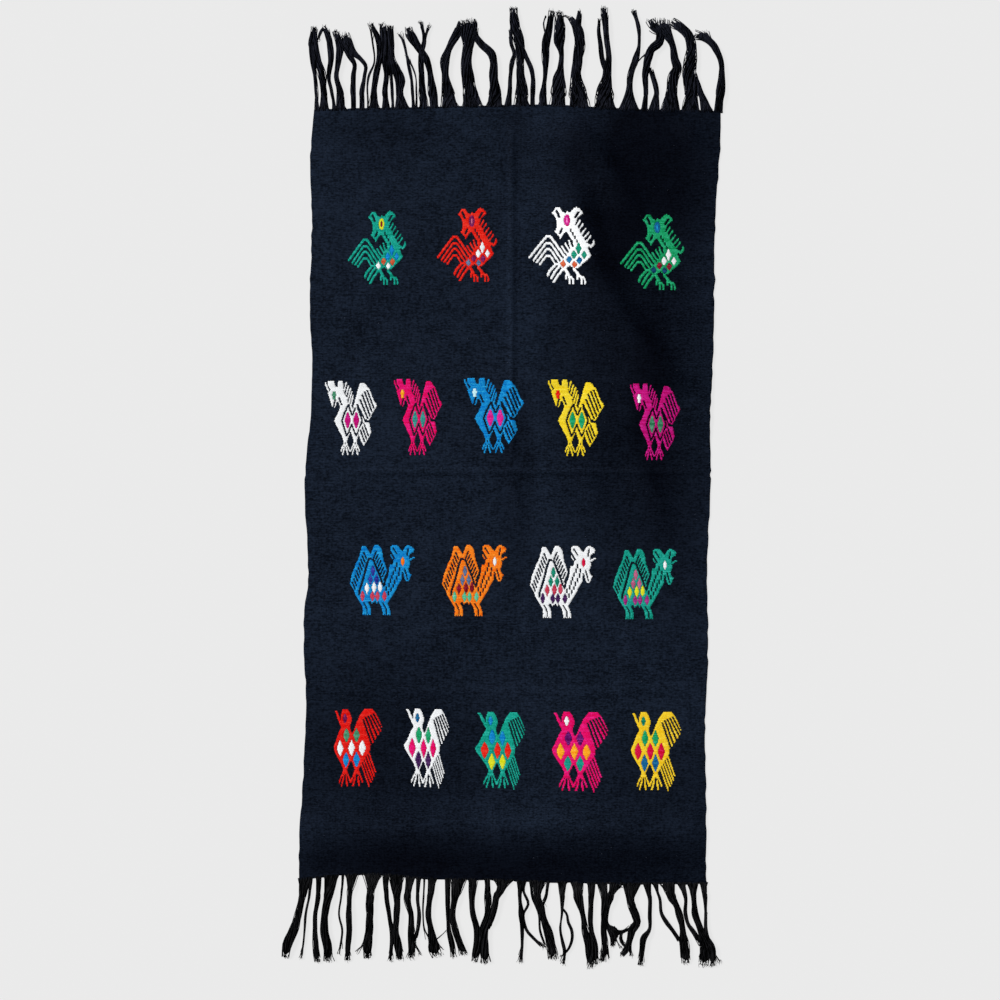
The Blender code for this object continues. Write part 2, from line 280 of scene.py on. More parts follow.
class Wire:
    """A shader socket that Python's operators work on: each makes one Math node."""

    def __init__(self, paint, socket):
        self.paint = paint
        self.socket = socket

    def maths(self, operation, *values):
        places = dict(enumerate(values))
        return self.paint.node("ShaderNodeMath", places, operation=operation)

    def __add__(self, other):
        return self.maths("ADD", self, other)

    def __radd__(self, other):
        return self.maths("ADD", other, self)

    def __sub__(self, other):
        return self.maths("SUBTRACT", self, other)

    def __rsub__(self, other):
        return self.maths("SUBTRACT", other, self)

    def __mul__(self, other):
        return self.maths("MULTIPLY", self, other)

    def __rmul__(self, other):
        return self.maths("MULTIPLY", other, self)

    def __truediv__(self, other):
        return self.maths("DIVIDE", self, other)

    def above(self, level, softness):
        """0 below the level and 1 beyond level + softness."""
        return self.maths("MULTIPLY", self - level, 1 / softness).clipped()

    def clipped(self):
        return self.maths("MINIMUM", self.maths("MAXIMUM", self, 0.0), 1.0)

    def sine(self):
        return self.maths("SINE", self)


class Paint:
    """A material: its shader, with the constants set, and the nodes that vary it."""

    def __init__(self, name, **constants):
        self.material = bpy.data.materials.new(name)
        self.material.use_nodes = True
        self.tree = self.material.node_tree
        self.shader = self.tree.nodes["Principled BSDF"]
        for key, value in constants.items():
            self.shader.inputs[key.replace("_", " ")].default_value = value

    def node(self, kind, values=(), out=0, **settings):
        node = self.tree.nodes.new(kind)
        for key, value in settings.items():
            setattr(node, key, value)
        for key, value in dict(values).items():
            self.feed(node.inputs[key], value)
        return Wire(self, node.outputs[out])

    def feed(self, socket, value):
        if isinstance(value, Wire):
            self.tree.links.new(value.socket, socket)
        else:
            socket.default_value = value

    def set(self, name, value):
        self.feed(self.shader.inputs[name], value)

    def place(self):
        """Where on the object a point is, in metres."""
        return self.node("ShaderNodeTexCoord", out=3)

    def split(self, vector):
        kind = "ShaderNodeSeparateXYZ"
        return [self.node(kind, {"Vector": vector}, out=axis) for axis in range(3)]

    def noise(self, place, noise):
        stretched = self.node("ShaderNodeVectorMath", {0: place, 1: noise.waves}, operation="MULTIPLY")
        values = {"Vector": stretched, "Scale": 1.0, "Detail": noise.detail}
        return self.node("ShaderNodeTexNoise", values)

    def mix(self, factor, first, second):
        values = {0: factor, 6: first, 7: second}
        return self.node("ShaderNodeMix", values, out=2, data_type="RGBA")

    def scaled(self, colour, factor):
        values = {0: colour, "Scale": factor}
        return self.node("ShaderNodeVectorMath", values, operation="SCALE")

    def bump(self, height, distance, strength):
        values = {"Height": height, "Distance": distance, "Strength": strength}
        self.set("Normal", self.node("ShaderNodeBump", values))


def linear(colour):
    """Linear light of a screen colour from 0 to 255, by the sRGB curve."""
    c = np.asarray(colour, float) / 255
    return np.where(c <= 0.04045, c / 12.92, ((c + 0.055) / 1.055) ** 2.4)


def dye(colour):
    """A colour as it has to be painted to come out so under this light."""
    return (*(linear(colour) / WHITE_LEVEL), 1.0)


def cloth_paint():
    """Navy cotton: weft streaks, mottling, painted shade in spots over the folds and the bottom end, specks
    of lint and a plain weave's relief.
    """
    paint = Paint("navy_cotton_cloth", Roughness=0.72, Specular_IOR_Level=0.024)
    place = paint.place()
    x, y, _ = paint.split(place)
    noises = (GRAIN, STREAK, WARP_STREAK, MOTTLE, BROAD)
    grain, streak, warp, mottle, broad = (paint.noise(place, noise) for noise in noises)
    tone = (
        grain * GRAIN.share + streak * STREAK.share + warp * WARP_STREAK.share
        + mottle * MOTTLE.share + broad * BROAD.share
    ) / sum(noise.share for noise in noises)
    tone = tone.above(*CLOTH_TONE)
    # Painted shade: depth sums the spots that darken the navy where the folds and the bottom end lie in
    # shade
    depth = 0.0
    for right, up, wide, high, amount in PAINTED_SHADE_SPOTS:
        across = (x - right * MM) / (wide * MM)
        along = (y - up * MM) / (high * MM)
        shade_spot = (1.0 - across * across - along * along).clipped()
        depth = shade_spot * amount + depth
    navy, deep = (paint.mix(tone, dye(dark), dye(light)) for dark, light in (NAVY, NAVY_IN_PAINTED_SHADE))
    lint = paint.noise(place, LINT).above(*LINT_TONE)
    # The painted shade (depth) mixes the navy towards its darker shaded navy, and lint specks go over it
    paint.set("Base Color", paint.mix(lint, paint.mix(depth, navy, deep), dye(LINT_GREY)))
    picks = (y * (2 * np.pi / PICK) + streak * PICK_WAVER).sine()
    ends = (x * (2 * np.pi / WARP_PITCH)).sine()
    weave = picks * WEAVE_PICKS + ends * picks * WEAVE_ENDS + streak * WEAVE_STREAKS
    paint.bump(weave, distance=0.07 * MM, strength=0.5)
    return paint.material


def brocade_paint():
    """Brocade yarn: each float's own colour, with fibres that run along it."""
    paint = Paint("brocade_yarn", Roughness=0.8, Specular_IOR_Level=0.04)
    place = paint.place()
    fibre, soft = paint.noise(place, FLOAT_FIBRE), paint.noise(place, FLOAT_SOFT)
    own = paint.node("ShaderNodeAttribute", attribute_name="yarn")
    level = FLOAT_TONE + fibre * FLOAT_FIBRE.share + soft * FLOAT_SOFT.share
    paint.set("Base Color", paint.scaled(own, level))
    paint.bump(fibre + soft, distance=0.18 * MM, strength=0.5)
    return paint.material


def fringe_paint():
    """Blue-black cotton yarn: fibres along the lock and a slow change of tone."""
    paint = Paint("navy_warp_yarn", Roughness=0.7, Specular_IOR_Level=0.02)
    place = paint.place()
    fibre, slow = paint.noise(place, WARP_FIBRE), paint.noise(place, WARP_SLOW)
    tone = (fibre * WARP_FIBRE.share + slow * WARP_SLOW.share).above(*WARP_TONE)
    at_top = paint.split(place)[1].above(0.0, 0.1)
    light = paint.mix(at_top, dye(BOTTOM_WARP), dye(TOP_WARP))
    paint.set("Base Color", paint.mix(tone, dye(WARP_DARK), light))
    paint.bump(fibre, distance=0.2 * MM, strength=0.6)
    return paint.material


def floor_paint():
    """The pale floor, evenly lit."""
    paint = Paint("floor", Roughness=1.0, Emission_Strength=1.0)
    paint.set("Base Color", (FLOOR_COLOUR, FLOOR_COLOUR, FLOOR_COLOUR, 1.0))
    paint.set("Emission Color", (FLOOR_GLOW, FLOOR_GLOW, FLOOR_GLOW, 1.0))
    return paint.material


def add_piece(name, points, faces, material, colours=None):
    """A mesh of four-cornered faces, smooth, at the origin; colours go with the points."""
    mesh = bpy.data.meshes.new(name)
    mesh.vertices.add(len(points))
    mesh.vertices.foreach_set("co", points.astype(np.float32).ravel())
    mesh.loops.add(faces.size)
    mesh.loops.foreach_set("vertex_index", faces.astype(np.int32).ravel())
    mesh.polygons.add(len(faces))
    mesh.polygons.foreach_set("loop_start", np.arange(len(faces), dtype=np.int32) * 4)
    mesh.polygons.foreach_set("use_smooth", np.ones(len(faces), bool))
    mesh.update(calc_edges=True)
    if colours is not None:
        layer = mesh.color_attributes.new("yarn", "FLOAT_COLOR", "POINT")
        layer.data.foreach_set("color", colours.astype(np.float32).ravel())
    mesh.materials.append(material)
    piece = bpy.data.objects.new(name, mesh)
    bpy.context.scene.collection.objects.link(piece)
    return piece


def join(parts):
    """Several meshes as one: their points, their faces counted on, and colours if they have them."""
    points, faces, *colours = zip(*parts)
    starts = np.cumsum([0] + [len(part) for part in points[:-1]])
    faces = [part + start for part, start in zip(faces, starts)]
    return [np.concatenate(rows) for rows in (points, faces, *colours)]


# The cloth


def grid_lines(first, last, creased):
    """Grid lines from first to last: close together over each crease and at both edges."""
    lines = [np.array((first, first + EDGE_STEP, first + EDGE_BAND))]
    start = first + EDGE_BAND
    half = int(CREASE_ZONE / FINE_CELL) + 1
    for place in creased:
        low, high = place * MM - CREASE_ZONE, place * MM + CREASE_ZONE
        middle = (low + high) / 2
        lines.append(np.linspace(start, low, int((low - start) / CELL) + 2))
        lines.append(np.linspace(low, middle, half))
        lines.append(np.linspace(middle, high, half))
        start = high
    stop = last - EDGE_BAND
    lines.append(np.linspace(start, stop, int((stop - start) / CELL) + 2))
    lines.append(np.array((last - EDGE_STEP, last)))
    return np.unique(np.round(np.concatenate(lines), 7))


def drawn_in(along, centre, low, high, new_low, new_high):
    """Places along one axis, stretched about a fixed centre so the ends meet the outline."""
    below = centre + (along - centre) * (new_low - centre) / (low - centre)
    above = centre + (along - centre) * (new_high - centre) / (high - centre)
    return np.where(along < centre, below, above)


def woven_cloth():
    """The cloth: grid (u, v) drawn to its outline, lifted by relief, one thickness deep.

    Each edge waves a little and rounds off: its face drops and its back rises.
    """
    left, right = min(s.left for s in SIDES) * MM, max(s.right for s in SIDES) * MM
    bottom, top = min(e[1] for e in BOTTOM_END) * MM, max(e[1] for e in TOP_END) * MM
    columns = grid_lines(left, right, [c.place for c in CREASES if c.lengthwise])
    rows = grid_lines(bottom, top, [c.place for c in CREASES if not c.lengthwise])
    middle, centre = CREASES[0].place * MM, CREASES[1].place * MM
    u, v = np.meshgrid(columns, rows)
    size, knots, reach = SELVEDGE_SCALLOP
    wave = wander(2, len(rows), size, knots)[:, :, None]
    x = drawn_in(u, middle, left, right, selvedge("left", v), selvedge("right", v))
    x = x + soft_step(1 - (u - left) / reach) * wave[0] + soft_step(1 - (right - u) / reach) * wave[1]
    size, knots, reach = END_SCALLOP
    wave = wander(2, len(columns), size, knots)[:, None, :]
    y = drawn_in(v, centre, bottom, top, end_line(BOTTOM_END, x), end_line(TOP_END, x))
    y = y + soft_step(1 - (v - bottom) / reach) * wave[0] + soft_step(1 - (top - v) / reach) * wave[1]
    z = relief(x, y)
    edge = np.zeros_like(z)
    edge[0], edge[-1], edge[:, 0], edge[:, -1] = 1, 1, 1, 1
    face = np.stack((x, y, z + THICKNESS * (1 - EDGE_ROUND * edge)), -1)
    back = np.stack((x, y, z + THICKNESS * EDGE_ROUND * edge), -1)
    m, n = z.shape
    index = np.arange(m * n).reshape(m, n)
    upper = np.stack((index[:-1, :-1], index[:-1, 1:], index[1:, 1:], index[1:, :-1]), -1)
    lower = upper[..., ::-1] + m * n
    rim = np.concatenate((index[0, :-1], index[:-1, -1], index[-1, :0:-1], index[:0:-1, 0]))
    after = np.roll(rim, -1)
    sides = np.stack((rim, rim + m * n, after + m * n, after), -1)
    points = np.concatenate((face.reshape(-1, 3), back.reshape(-1, 3)))
    faces = np.concatenate((upper.reshape(-1, 4), lower.reshape(-1, 4), sides))
    return add_piece("cloth", points, faces, cloth_paint())


# The brocade: animals charted on squared paper, one yarn to a pick

CELL_WIDE = 1.4 * MM        # one square of the charts, which is two picks high
STEP_HIGH = 2.3 * MM
FLOAT_HEIGHT = 0.34 * MM
FLOAT_EDGE = 0.12 * MM
FLOAT_END = 0.15            # a float's ends stand this share of its height
FLOAT_ROUND = 1.0 * MM      # and it reaches its height within this
FLOAT_ROWS = np.array((0.12, 0.12, 0.5, 0.88, 0.88))    # its rows of points, down the pick
FLOAT_CREST = np.array((0.0, 0.0, 1.0, 0.0, 0.0))       # and which of them are its crest
DRAWN_IN = 0.3 * MM         # a float's end stops this far inside its square,
DRAWN_IN_SHARE = 0.22       # but a short float's by no more than this share of its length
TIE_EVERY = 9               # half cells from one warp end that ties a float down to the next
TIE_SHIFT = 3               # half cells that the ties shift by from pick to pick
TIE_INSIDE = 2              # half cells at a float's ends that have no tie
TIE_DIP = 0.35
FUZZ = 0.35 * MM            # fine fibres reach this far beyond a float's ends,
FUZZ_ASIDE = 0.7            # this share of it beside the float
FUZZ_HEIGHT = 0.02 * MM
FUZZ_PAINTED_SHADE = 0.16           # and are painted dark in its colour, as painted shade between the floats
FUZZ_HUE = 0.9              # with this share of its grey taken out
RUN_TONE = 0.28             # spread of tone from one float to the next
DRIFT_TONE = 0.34           # and along each of them
MAIN, EYE, FIRST, SECOND, THIRD, PUPIL = range(6)
BARE = -1


class Chart:
    """A motif on squared paper, x cells across and y steps down, kept by half cell and pick."""

    def __init__(self, cells, steps):
        self.yarns = np.full((steps * 2, cells * 2), BARE)
        self.x, self.y = np.meshgrid(
            (np.arange(cells * 2) + 0.5) / 2, (np.arange(steps * 2) + 0.5) / 2
        )

    def area(self, points, yarn=MAIN):
        """Fill the outline by the even-odd rule."""
        points = np.array(points, float)
        inside = np.zeros(self.x.shape, bool)
        for (xa, ya), (xb, yb) in zip(points, np.roll(points, -1, 0)):
            if ya != yb:
                crossing = xa + (self.y - ya) * (xb - xa) / (yb - ya)
                inside ^= ((ya > self.y) != (yb > self.y)) & (self.x < crossing)
        self.yarns[inside] = yarn

    def stroke(self, *lines, thick, yarn=MAIN):
        """Cover what lies within thick / 2 mm of each line, which joins two or more points."""
        unit = np.array((CELL_WIDE, STEP_HIGH)) / MM
        px, py = self.x * unit[0], self.y * unit[1]
        for line in lines:
            points = np.array(line, float) * unit
            for (xa, ya), (xb, yb) in zip(points[:-1], points[1:]):
                dx, dy = xb - xa, yb - ya
                t = np.clip(((px - xa) * dx + (py - ya) * dy) / (dx * dx + dy * dy), 0, 1)
                near = np.hypot(px - xa - t * dx, py - ya - t * dy) <= thick / 2
                self.yarns[near] = yarn

    def cut(self, *lines, thick=1.3):
        """Leave the cloth bare along each line."""
        self.stroke(*lines, thick=thick, yarn=BARE)

    def rounds(self, yarn, *spots, power=2.0):
        """Ovals, each by its middle and its two radii: |dx / rx| and |dy / ry| to the power."""
        for x, y, rx, ry in spots:
            off = (np.abs(self.x - x) / rx) ** power + (np.abs(self.y - y) / ry) ** power
            self.yarns[off <= 1] = yarn

    def diamonds(self, yarn, *spots):
        """Diamonds with sides that bulge a little."""
        self.rounds(yarn, *spots, power=1.2)


def crested_bird():
    """A bird that looks back over a spread wing: comb, beak, mane, chevron wing, two feet."""
    chart = Chart(48, 35)
    chart.area((
        (33, 14), (38, 14), (42, 17.5), (45, 21.5), (42, 23.5), (38.5, 25.3), (35.7, 27), (33, 27),
        (30, 26), (27.5, 27), (25, 28.2), (23, 26.5), (20, 25.5), (21.5, 24.8), (24, 23.8),
        (27.3, 21.8), (29.5, 20), (31, 18),
    ))
    chart.area((
        (28.5, 9), (35, 8.3), (37, 11), (39.5, 13.5), (42, 16), (43, 18), (38, 19), (33, 16),
        (31, 14.6), (29.3, 12.8), (27, 11),
    ))
    chart.area((
        (17, 3.4), (18.5, 2.2), (20, 0.9), (21.8, 0.8), (23.5, 1.5), (25, 3), (26.5, 3.4), (28, 2.6),
        (29.5, 3.3), (31.5, 2), (32.8, 0.9), (34.5, 0.7), (36.5, 1), (38.3, 2.2), (39.3, 3), (38, 3.8),
        (36.5, 4.6), (35, 5.2), (34.4, 7), (33.5, 8.5), (31, 10.5), (28, 11.8), (27, 11.2),
        (25.8, 12.2), (24.3, 13.5), (23, 14.6), (22, 13.3), (20.5, 12.3), (19, 11.4), (20, 10.8),
        (20.5, 9.5), (20.3, 6.5), (19.5, 5),
    ))
    # The mane and its curl, then the slots in neck, comb and beak
    chart.stroke(
        ((34.6, 9), (36.9, 6.5)), ((36.2, 10.5), (38.9, 8)), ((38, 12.3), (41, 9.8)),
        ((39.8, 13.8), (43.2, 11.5)), ((41.5, 15.4), (44.6, 13)), thick=1.6,
    )
    chart.stroke(((42.5, 16.6), (44.8, 17.5), (46.4, 16.6), (46.9, 15.2)), thick=2.2)
    for x, y in ((30.3, 10.6), (31.8, 12.2), (33.3, 13.8), (34.8, 15.5)):
        chart.cut(((x, y - 0.5), (x + 0.2, y + 0.4)), thick=1.6)
    chart.cut(
        ((20.4, 2.7), (21.6, 3.8), (22.3, 5.2)), ((36.2, 2.8), (34.8, 3.8), (33.8, 5)), thick=2.4,
    )
    chart.cut(((24.2, 10.2), (22.9, 12.2)), thick=2.2)
    # Three feathers on the back, then the wing's four chevrons
    chart.stroke(
        ((29.2, 15.2), (30.8, 18.8)), ((26.8, 16.6), (30.5, 20.3)), ((24.2, 17.8), (28.4, 21.5)),
        thick=1.8,
    )
    chart.cut(((30.8, 15), (32, 17.6)))
    for top, left, right, foot, thick in (
        (13.6, 1.3, 26.8, 22.6, 2.5), (16.4, 4.2, 24.5, 23.8, 2.2), (19.2, 6.4, 22.3, 24.8, 2.1),
        (22, 8.5, 19.6, 25.7, 2.0),
    ):
        shoulders = (12, top + 0.9), (13.3, top), (15.8, top), (17.2, top + 0.9)
        chart.stroke(((left, foot), *shoulders, (right, foot)), thick=thick)
    # The tail, the legs and the toes
    chart.stroke(
        ((20.5, 25.3), (18, 26.8), (15.5, 28.5), (14.3, 30.3)), ((22.3, 26.5), (19, 29), (16.6, 31.6)),
        ((24.5, 28), (21.5, 30.3), (18.5, 33.2)), thick=2.4,
    )
    chart.stroke(
        ((26.5, 27.3), (29, 30), (29.5, 31)), ((32.8, 27.3), (36.5, 30.3), (38.3, 31)), thick=2.8,
    )
    chart.stroke(
        ((29.5, 31), (29.8, 33.8)), ((31, 31), (32.3, 32), (32.3, 33.8)), ((38.3, 31), (38.2, 33.8)),
        ((39.2, 31), (40.5, 32), (40.6, 33.5)), thick=2.0,
    )
    chart.stroke(((27.3, 30), (27.2, 31.8)), ((35.2, 30.2), (35.2, 31.8)), thick=1.8)
    chart.rounds(EYE, (27.8, 6.5, 2.2, 2.5))
    chart.rounds(PUPIL, (27.8, 6.5, 0.8, 1.3))
    chart.diamonds(FIRST, (36, 18.5, 1.9, 2.6), (32.8, 21.3, 2.0, 1.9), (40, 21.3, 2.0, 1.9))
    chart.diamonds(SECOND, (29.4, 23.4, 2.1, 1.7), (36.6, 23.7, 2.1, 1.7))
    chart.diamonds(THIRD, (25.2, 25.3, 2.0, 1.6), (33.1, 25.5, 2.0, 1.6))
    return chart


def winged_beast():
    """A beaked beast in profile with a ringed body, a slotted wing and a fan tail."""
    chart = Chart(39, 34)
    chart.area((
        (3.7, 0.9), (8.4, 0.9), (9.0, 3.2), (10.8, 3.4), (11.4, 0.9), (14.3, 0.9), (15, 2.5), (15, 5),
        (16, 6.8), (17.3, 8), (18, 10), (19.5, 11.5), (21.8, 12.8), (25.5, 12), (28, 14.5),
        (28.8, 18), (27.5, 21.5), (25.5, 24.6), (24.2, 27.4), (22.2, 27.4), (21.7, 25.6),
        (20, 22.8), (18.2, 25.6), (17.4, 27.4), (15.2, 27.4), (14, 24.8), (11.7, 22.2), (9.7, 20),
        (8.7, 18.2), (9.2, 17), (11, 15), (12, 13.6), (12.6, 12.2), (12, 11), (11, 9.8), (10.2, 10),
        (9.8, 11.5), (8.8, 12.6), (6.8, 11.6), (6, 10), (5, 8), (4, 6.3), (5.8, 4.8), (4, 2.6),
    ))
    # The crest and the mane, then the slots in beak and cheek
    chart.stroke(((2.3, 2), (4.3, 5)), thick=1.8)
    chart.stroke(
        ((15.6, 5), (17, 1.8)), ((17, 6.5), (18.5, 3.2)), ((18, 8.5), (20, 4.2)),
        ((19, 10.5), (20.8, 5.8)), ((20, 12), (21.7, 7.5)), thick=1.5,
    )
    chart.cut(((9.2, 9.3), (8.1, 12)), thick=1.7)
    chart.cut(((12.1, 8.2), (12.4, 9.4), (13.7, 11.2)), thick=1.6)
    # The rings round the body's two diamonds
    chart.cut(
        ((18.2, 11.6), (16, 14.6), (13.9, 18.2), (15.7, 21.8), (17.4, 24.8)),
        ((24.3, 11.6), (26.4, 14.8), (28.2, 18.2), (26.4, 21.5), (24, 24.8)), thick=1.8,
    )
    chart.cut(
        ((18.4, 11.4), (21.2, 15.8), (24.1, 11.8)), ((18.2, 24), (20.7, 19.9), (23.4, 24)), thick=1.7,
    )
    chart.diamonds(FIRST, (18, 18.1, 2.1, 3.9), (24, 18.1, 2.1, 3.9))
    # The wing and its slots
    chart.area((
        (26.3, 2.2), (30, 2.2), (31.5, 3.2), (33.2, 4.6), (34.5, 6.5), (35.7, 8.5), (36.7, 10.2),
        (38, 10.6), (38.4, 12), (37.5, 13), (36, 14.5), (34.5, 16), (33.5, 17.2), (32.6, 18.2),
        (28.6, 19.2), (28.4, 16), (25.5, 12), (21.8, 12.8), (22.3, 11.3), (23.3, 9), (24.4, 6.5),
        (25.3, 4.2),
    ))
    chart.cut(
        ((26.8, 9.2), (32.2, 17.4)), ((28.2, 7), (33.6, 16)), ((30, 5.8), (35, 14.4)),
        ((31.8, 5.2), (36.3, 12.8)), ((24.8, 11.3), (30.8, 18.9)), ((31, 18), (33, 18.6)), thick=1.6,
    )
    # The tail and its slots
    chart.area((
        (28, 19.8), (31, 18.8), (33, 18.8), (33.6, 20.5), (34.4, 23), (33.6, 24.5), (32.2, 26),
        (30.6, 27.6), (29.2, 28.8), (28, 28), (26.6, 25.8), (25.6, 23.6), (26, 21.6),
    ))
    chart.cut(
        ((29.7, 20), (32.5, 24.6)), ((28.2, 21), (31.2, 26)), ((26.9, 22.2), (29.8, 27.3)), thick=1.5,
    )
    for x in (16.3, 23.2):
        chart.stroke(
            ((x, 26.8), (x - 3, 31.2)), ((x, 26.8), (x + 3, 31.2)),
            ((x - 0.1, 28.6), (x - 1.9, 32.6)), ((x + 0.1, 28.6), (x + 1.7, 32.6)), thick=1.4,
        )
    chart.rounds(EYE, (8.5, 7.2, 1.3, 1.9))
    return chart


def camel():
    """A two-humped camel with slotted humps, a ticked neck and a raised head."""
    chart = Chart(49, 32)
    chart.area((
        (10, 0.9), (12.8, 0.9), (14.2, 2.3), (15.5, 4), (16.5, 4.6), (17.3, 3), (18.5, 1.2),
        (19.5, 0.6), (21.5, 0.6), (23, 1.2), (24.5, 3), (25, 5), (25.8, 7.5), (27, 9.2), (28, 11.5),
        (28, 13.5), (29, 11.5), (30.2, 9), (32, 9), (38.8, 12.5), (38.5, 15), (37.3, 16.5),
        (35.5, 18), (34.5, 20), (33, 21.5), (31.5, 22.8), (30, 24), (28.5, 26), (29.5, 27.5),
        (30.5, 29.5), (30.8, 31.2), (24.8, 31.2), (24.8, 29.5), (24, 27.5), (22, 25), (20.5, 26),
        (19.5, 24.5), (18.5, 25.6), (17.2, 25.8), (15.8, 24.9), (14.5, 25.5), (15.7, 27), (16.8, 29),
        (16.3, 30.9), (10.5, 30.9), (10.8, 29), (10.2, 27), (8.8, 25.3), (7, 24), (5.5, 22.3),
        (4.3, 20.3), (3, 18.5), (1.5, 17.3), (2, 15.5), (2.8, 13.5), (3.8, 11.8), (5, 10), (6, 8.3),
        (7.3, 7), (8.5, 4.8), (9.5, 2.5),
    ))
    chart.area((
        (30.3, 2), (30.6, 1), (32, 0.6), (35.5, 0.6), (37, 1.8), (38.8, 3), (39.5, 3.1), (41, 1),
        (42.5, 0.6), (45, 0.8), (47.5, 2), (47, 3.5), (45, 3.8), (44, 5), (43.8, 7), (44.8, 8),
        (44, 9.8), (43, 10.5), (43.8, 12.3), (45.5, 13.2), (44.7, 14.3), (44, 15.3), (42.5, 16.3),
        (41, 15.3), (40, 13.8), (39.3, 12.5), (37, 13), (30.5, 11), (32, 9), (32.8, 7), (32.8, 5),
        (31.5, 4),
    ))
    chart.stroke(((47.3, 5.6), (43.8, 7)), ((30.8, 5), (32, 6.2)), thick=1.6)
    # The line under the humps, and their slots
    chart.cut((
        (8, 22), (8.5, 20), (10, 17.3), (12, 13), (13.3, 9.5), (15, 6.6), (18.3, 6.8), (20.5, 10.5),
        (23, 14), (24.5, 17), (25.7, 18.3), (27, 15.5), (28.3, 13.5), (28.8, 10.5),
    ), thick=2.2)
    for i in range(9):
        x, y = 11.4 - 1.02 * i, 3.6 + 1.65 * i
        chart.cut(((x, y), (x + 1.9, y + 2.9)), thick=1.5)
    for i in range(8):
        x, y = 20.4 + 1.02 * i, 3.3 + 1.4 * i
        chart.cut(((x, y), (x - 1.9, y + 2.7)), thick=1.5)
    chart.diamonds(FIRST, *((x, y, 1.6, 2.4) for x, y in ((18, 11.8), (16.2, 15.6), (20.7, 15.6))))
    chart.diamonds(SECOND, *((x, y, 1.7, 2.5) for x, y in ((13.7, 19.3), (18.8, 19), (23, 18.9))))
    chart.diamonds(THIRD, *((x, 22.8, 1.7, 2.3) for x in (10.5, 17.6, 21.2, 26.2)))
    # The slots in the legs, ears and chin, the ticks on the neck and the toes
    chart.cut(
        ((11.5, 25.5), (13.7, 28.5), (13.8, 30)), ((25, 25.5), (27.6, 28.5), (27.6, 30.5)),
        ((32.3, 1.8), (35, 4.3)), ((31.5, 4), (33.3, 6.2)), ((43.3, 2), (42.3, 4.8)),
        ((40.8, 11), (42.6, 15)), ((39, 12), (39.8, 14)),
    )
    for x, y in (
        (35.2, 9), (34, 11), (32.7, 12.6), (31.6, 14.3), (30.5, 16), (29.4, 17.9), (27.7, 19.5),
        (37.2, 10.9), (36.4, 12.9), (35.2, 14.8), (33.6, 16.5), (32.5, 18.2), (30.8, 19.8), (29, 21.5),
    ):
        chart.cut(((x, y - 0.65), (x, y + 0.65)), thick=1.5)
    for x in (11.9, 13.4, 14.9, 26.2, 27.7, 29.3):
        chart.cut(((x, 30.5), (x, 31.6)), thick=0.8)
    chart.rounds(EYE, (39.2, 7.5, 1.2, 1.8))
    return chart


def peacock(tall):
    """A peacock with a slotted wing, a feather tail, two feet and seven diamonds, so tall."""
    chart = Chart(34, 36)
    chart.area((
        (2.3, 1.3), (4.2, 1.3), (6, 3.7), (7.4, 5.5), (7.7, 3), (8.5, 1.2), (12.3, 1.2), (13.8, 2.6),
        (14.8, 4.8), (15, 6.2), (14, 8.2), (14.2, 10), (15.2, 11.5), (16.5, 10), (17.8, 7.5),
        (19.3, 5), (20, 3.5), (21.3, 2.3), (22.5, 1.2), (27.5, 1.1), (28.7, 2.3), (29.5, 3.5),
        (30.5, 5), (31.5, 7), (32.5, 9.2), (32.4, 10.5), (26.8, 17), (25.8, 17.3), (26.1, 19),
        (24.8, 20.7), (19.7, 27), (19.1, 29.5), (17.2, 29.5), (15, 24), (13.5, 24.5), (11.9, 29.5),
        (9.8, 29.5), (9.3, 28), (8.6, 26.2), (7.2, 24.5), (5.2, 22.3), (3, 20.3), (1.5, 18.6),
        (0.8, 17.6), (2, 16.5), (3.2, 15), (4.5, 13), (6, 10.8), (7.3, 9.3), (7.5, 8), (6, 6.5),
        (4.8, 5), (3.8, 3),
    ))
    # The tail's feathers and the wing's slots
    chart.stroke(
        ((24.8, 19.4), (28.9, 28.8)), ((23.8, 20.8), (28.2, 30.5)), ((22.7, 22.2), (27.4, 32)),
        ((21.7, 23.5), (26.5, 33.5)), ((20.7, 24.8), (25.4, 35)), thick=1.25,
    )
    chart.cut(
        ((22.2, 5.9), (27.4, 17.8)), ((23.6, 4.8), (28.9, 16.4)), ((25, 4.2), (30.6, 14.2)),
        ((26.4, 3.7), (32.2, 12.4)), ((27.9, 3.3), (33.2, 11.2)), thick=1.6,
    )
    # The gap between the legs, and the toes
    chart.diamonds(BARE, (14.4, 27.8, 2.4, 3.8))
    chart.stroke(
        ((9.6, 28.3), (6.2, 33)), ((10.1, 29.5), (8, 34.6)), ((11, 29.5), (12, 34.8)),
        ((11.6, 28.3), (14.1, 33)), ((17.3, 28.3), (14.6, 33)), ((17.8, 29.5), (15.8, 34.8)),
        ((18.5, 29.5), (19.6, 34.8)), ((19.1, 28.3), (21.5, 33)), thick=1.6,
    )
    chart.rounds(BARE, (10.6, 30.6, 0.6, 0.9), (18.2, 30.6, 0.6, 0.9))
    chart.rounds(EYE, (10.5, 5, 1.3, 1.9))
    upper, middle, lower = 3.8 * tall, 4.1 * tall, 4 * tall
    chart.diamonds(FIRST, (11.5, 12.4, 2.2, upper), (18, 12.6, 1.9, upper))
    chart.diamonds(SECOND, *((x, 18.2, wide, middle) for x, wide in ((6.8, 2.5), (14.8, 2.1), (21.4, 2.1))))
    chart.diamonds(THIRD, (11.2, 23.3, 2.2, lower), (18, 23.3, 2.0, lower))
    return chart


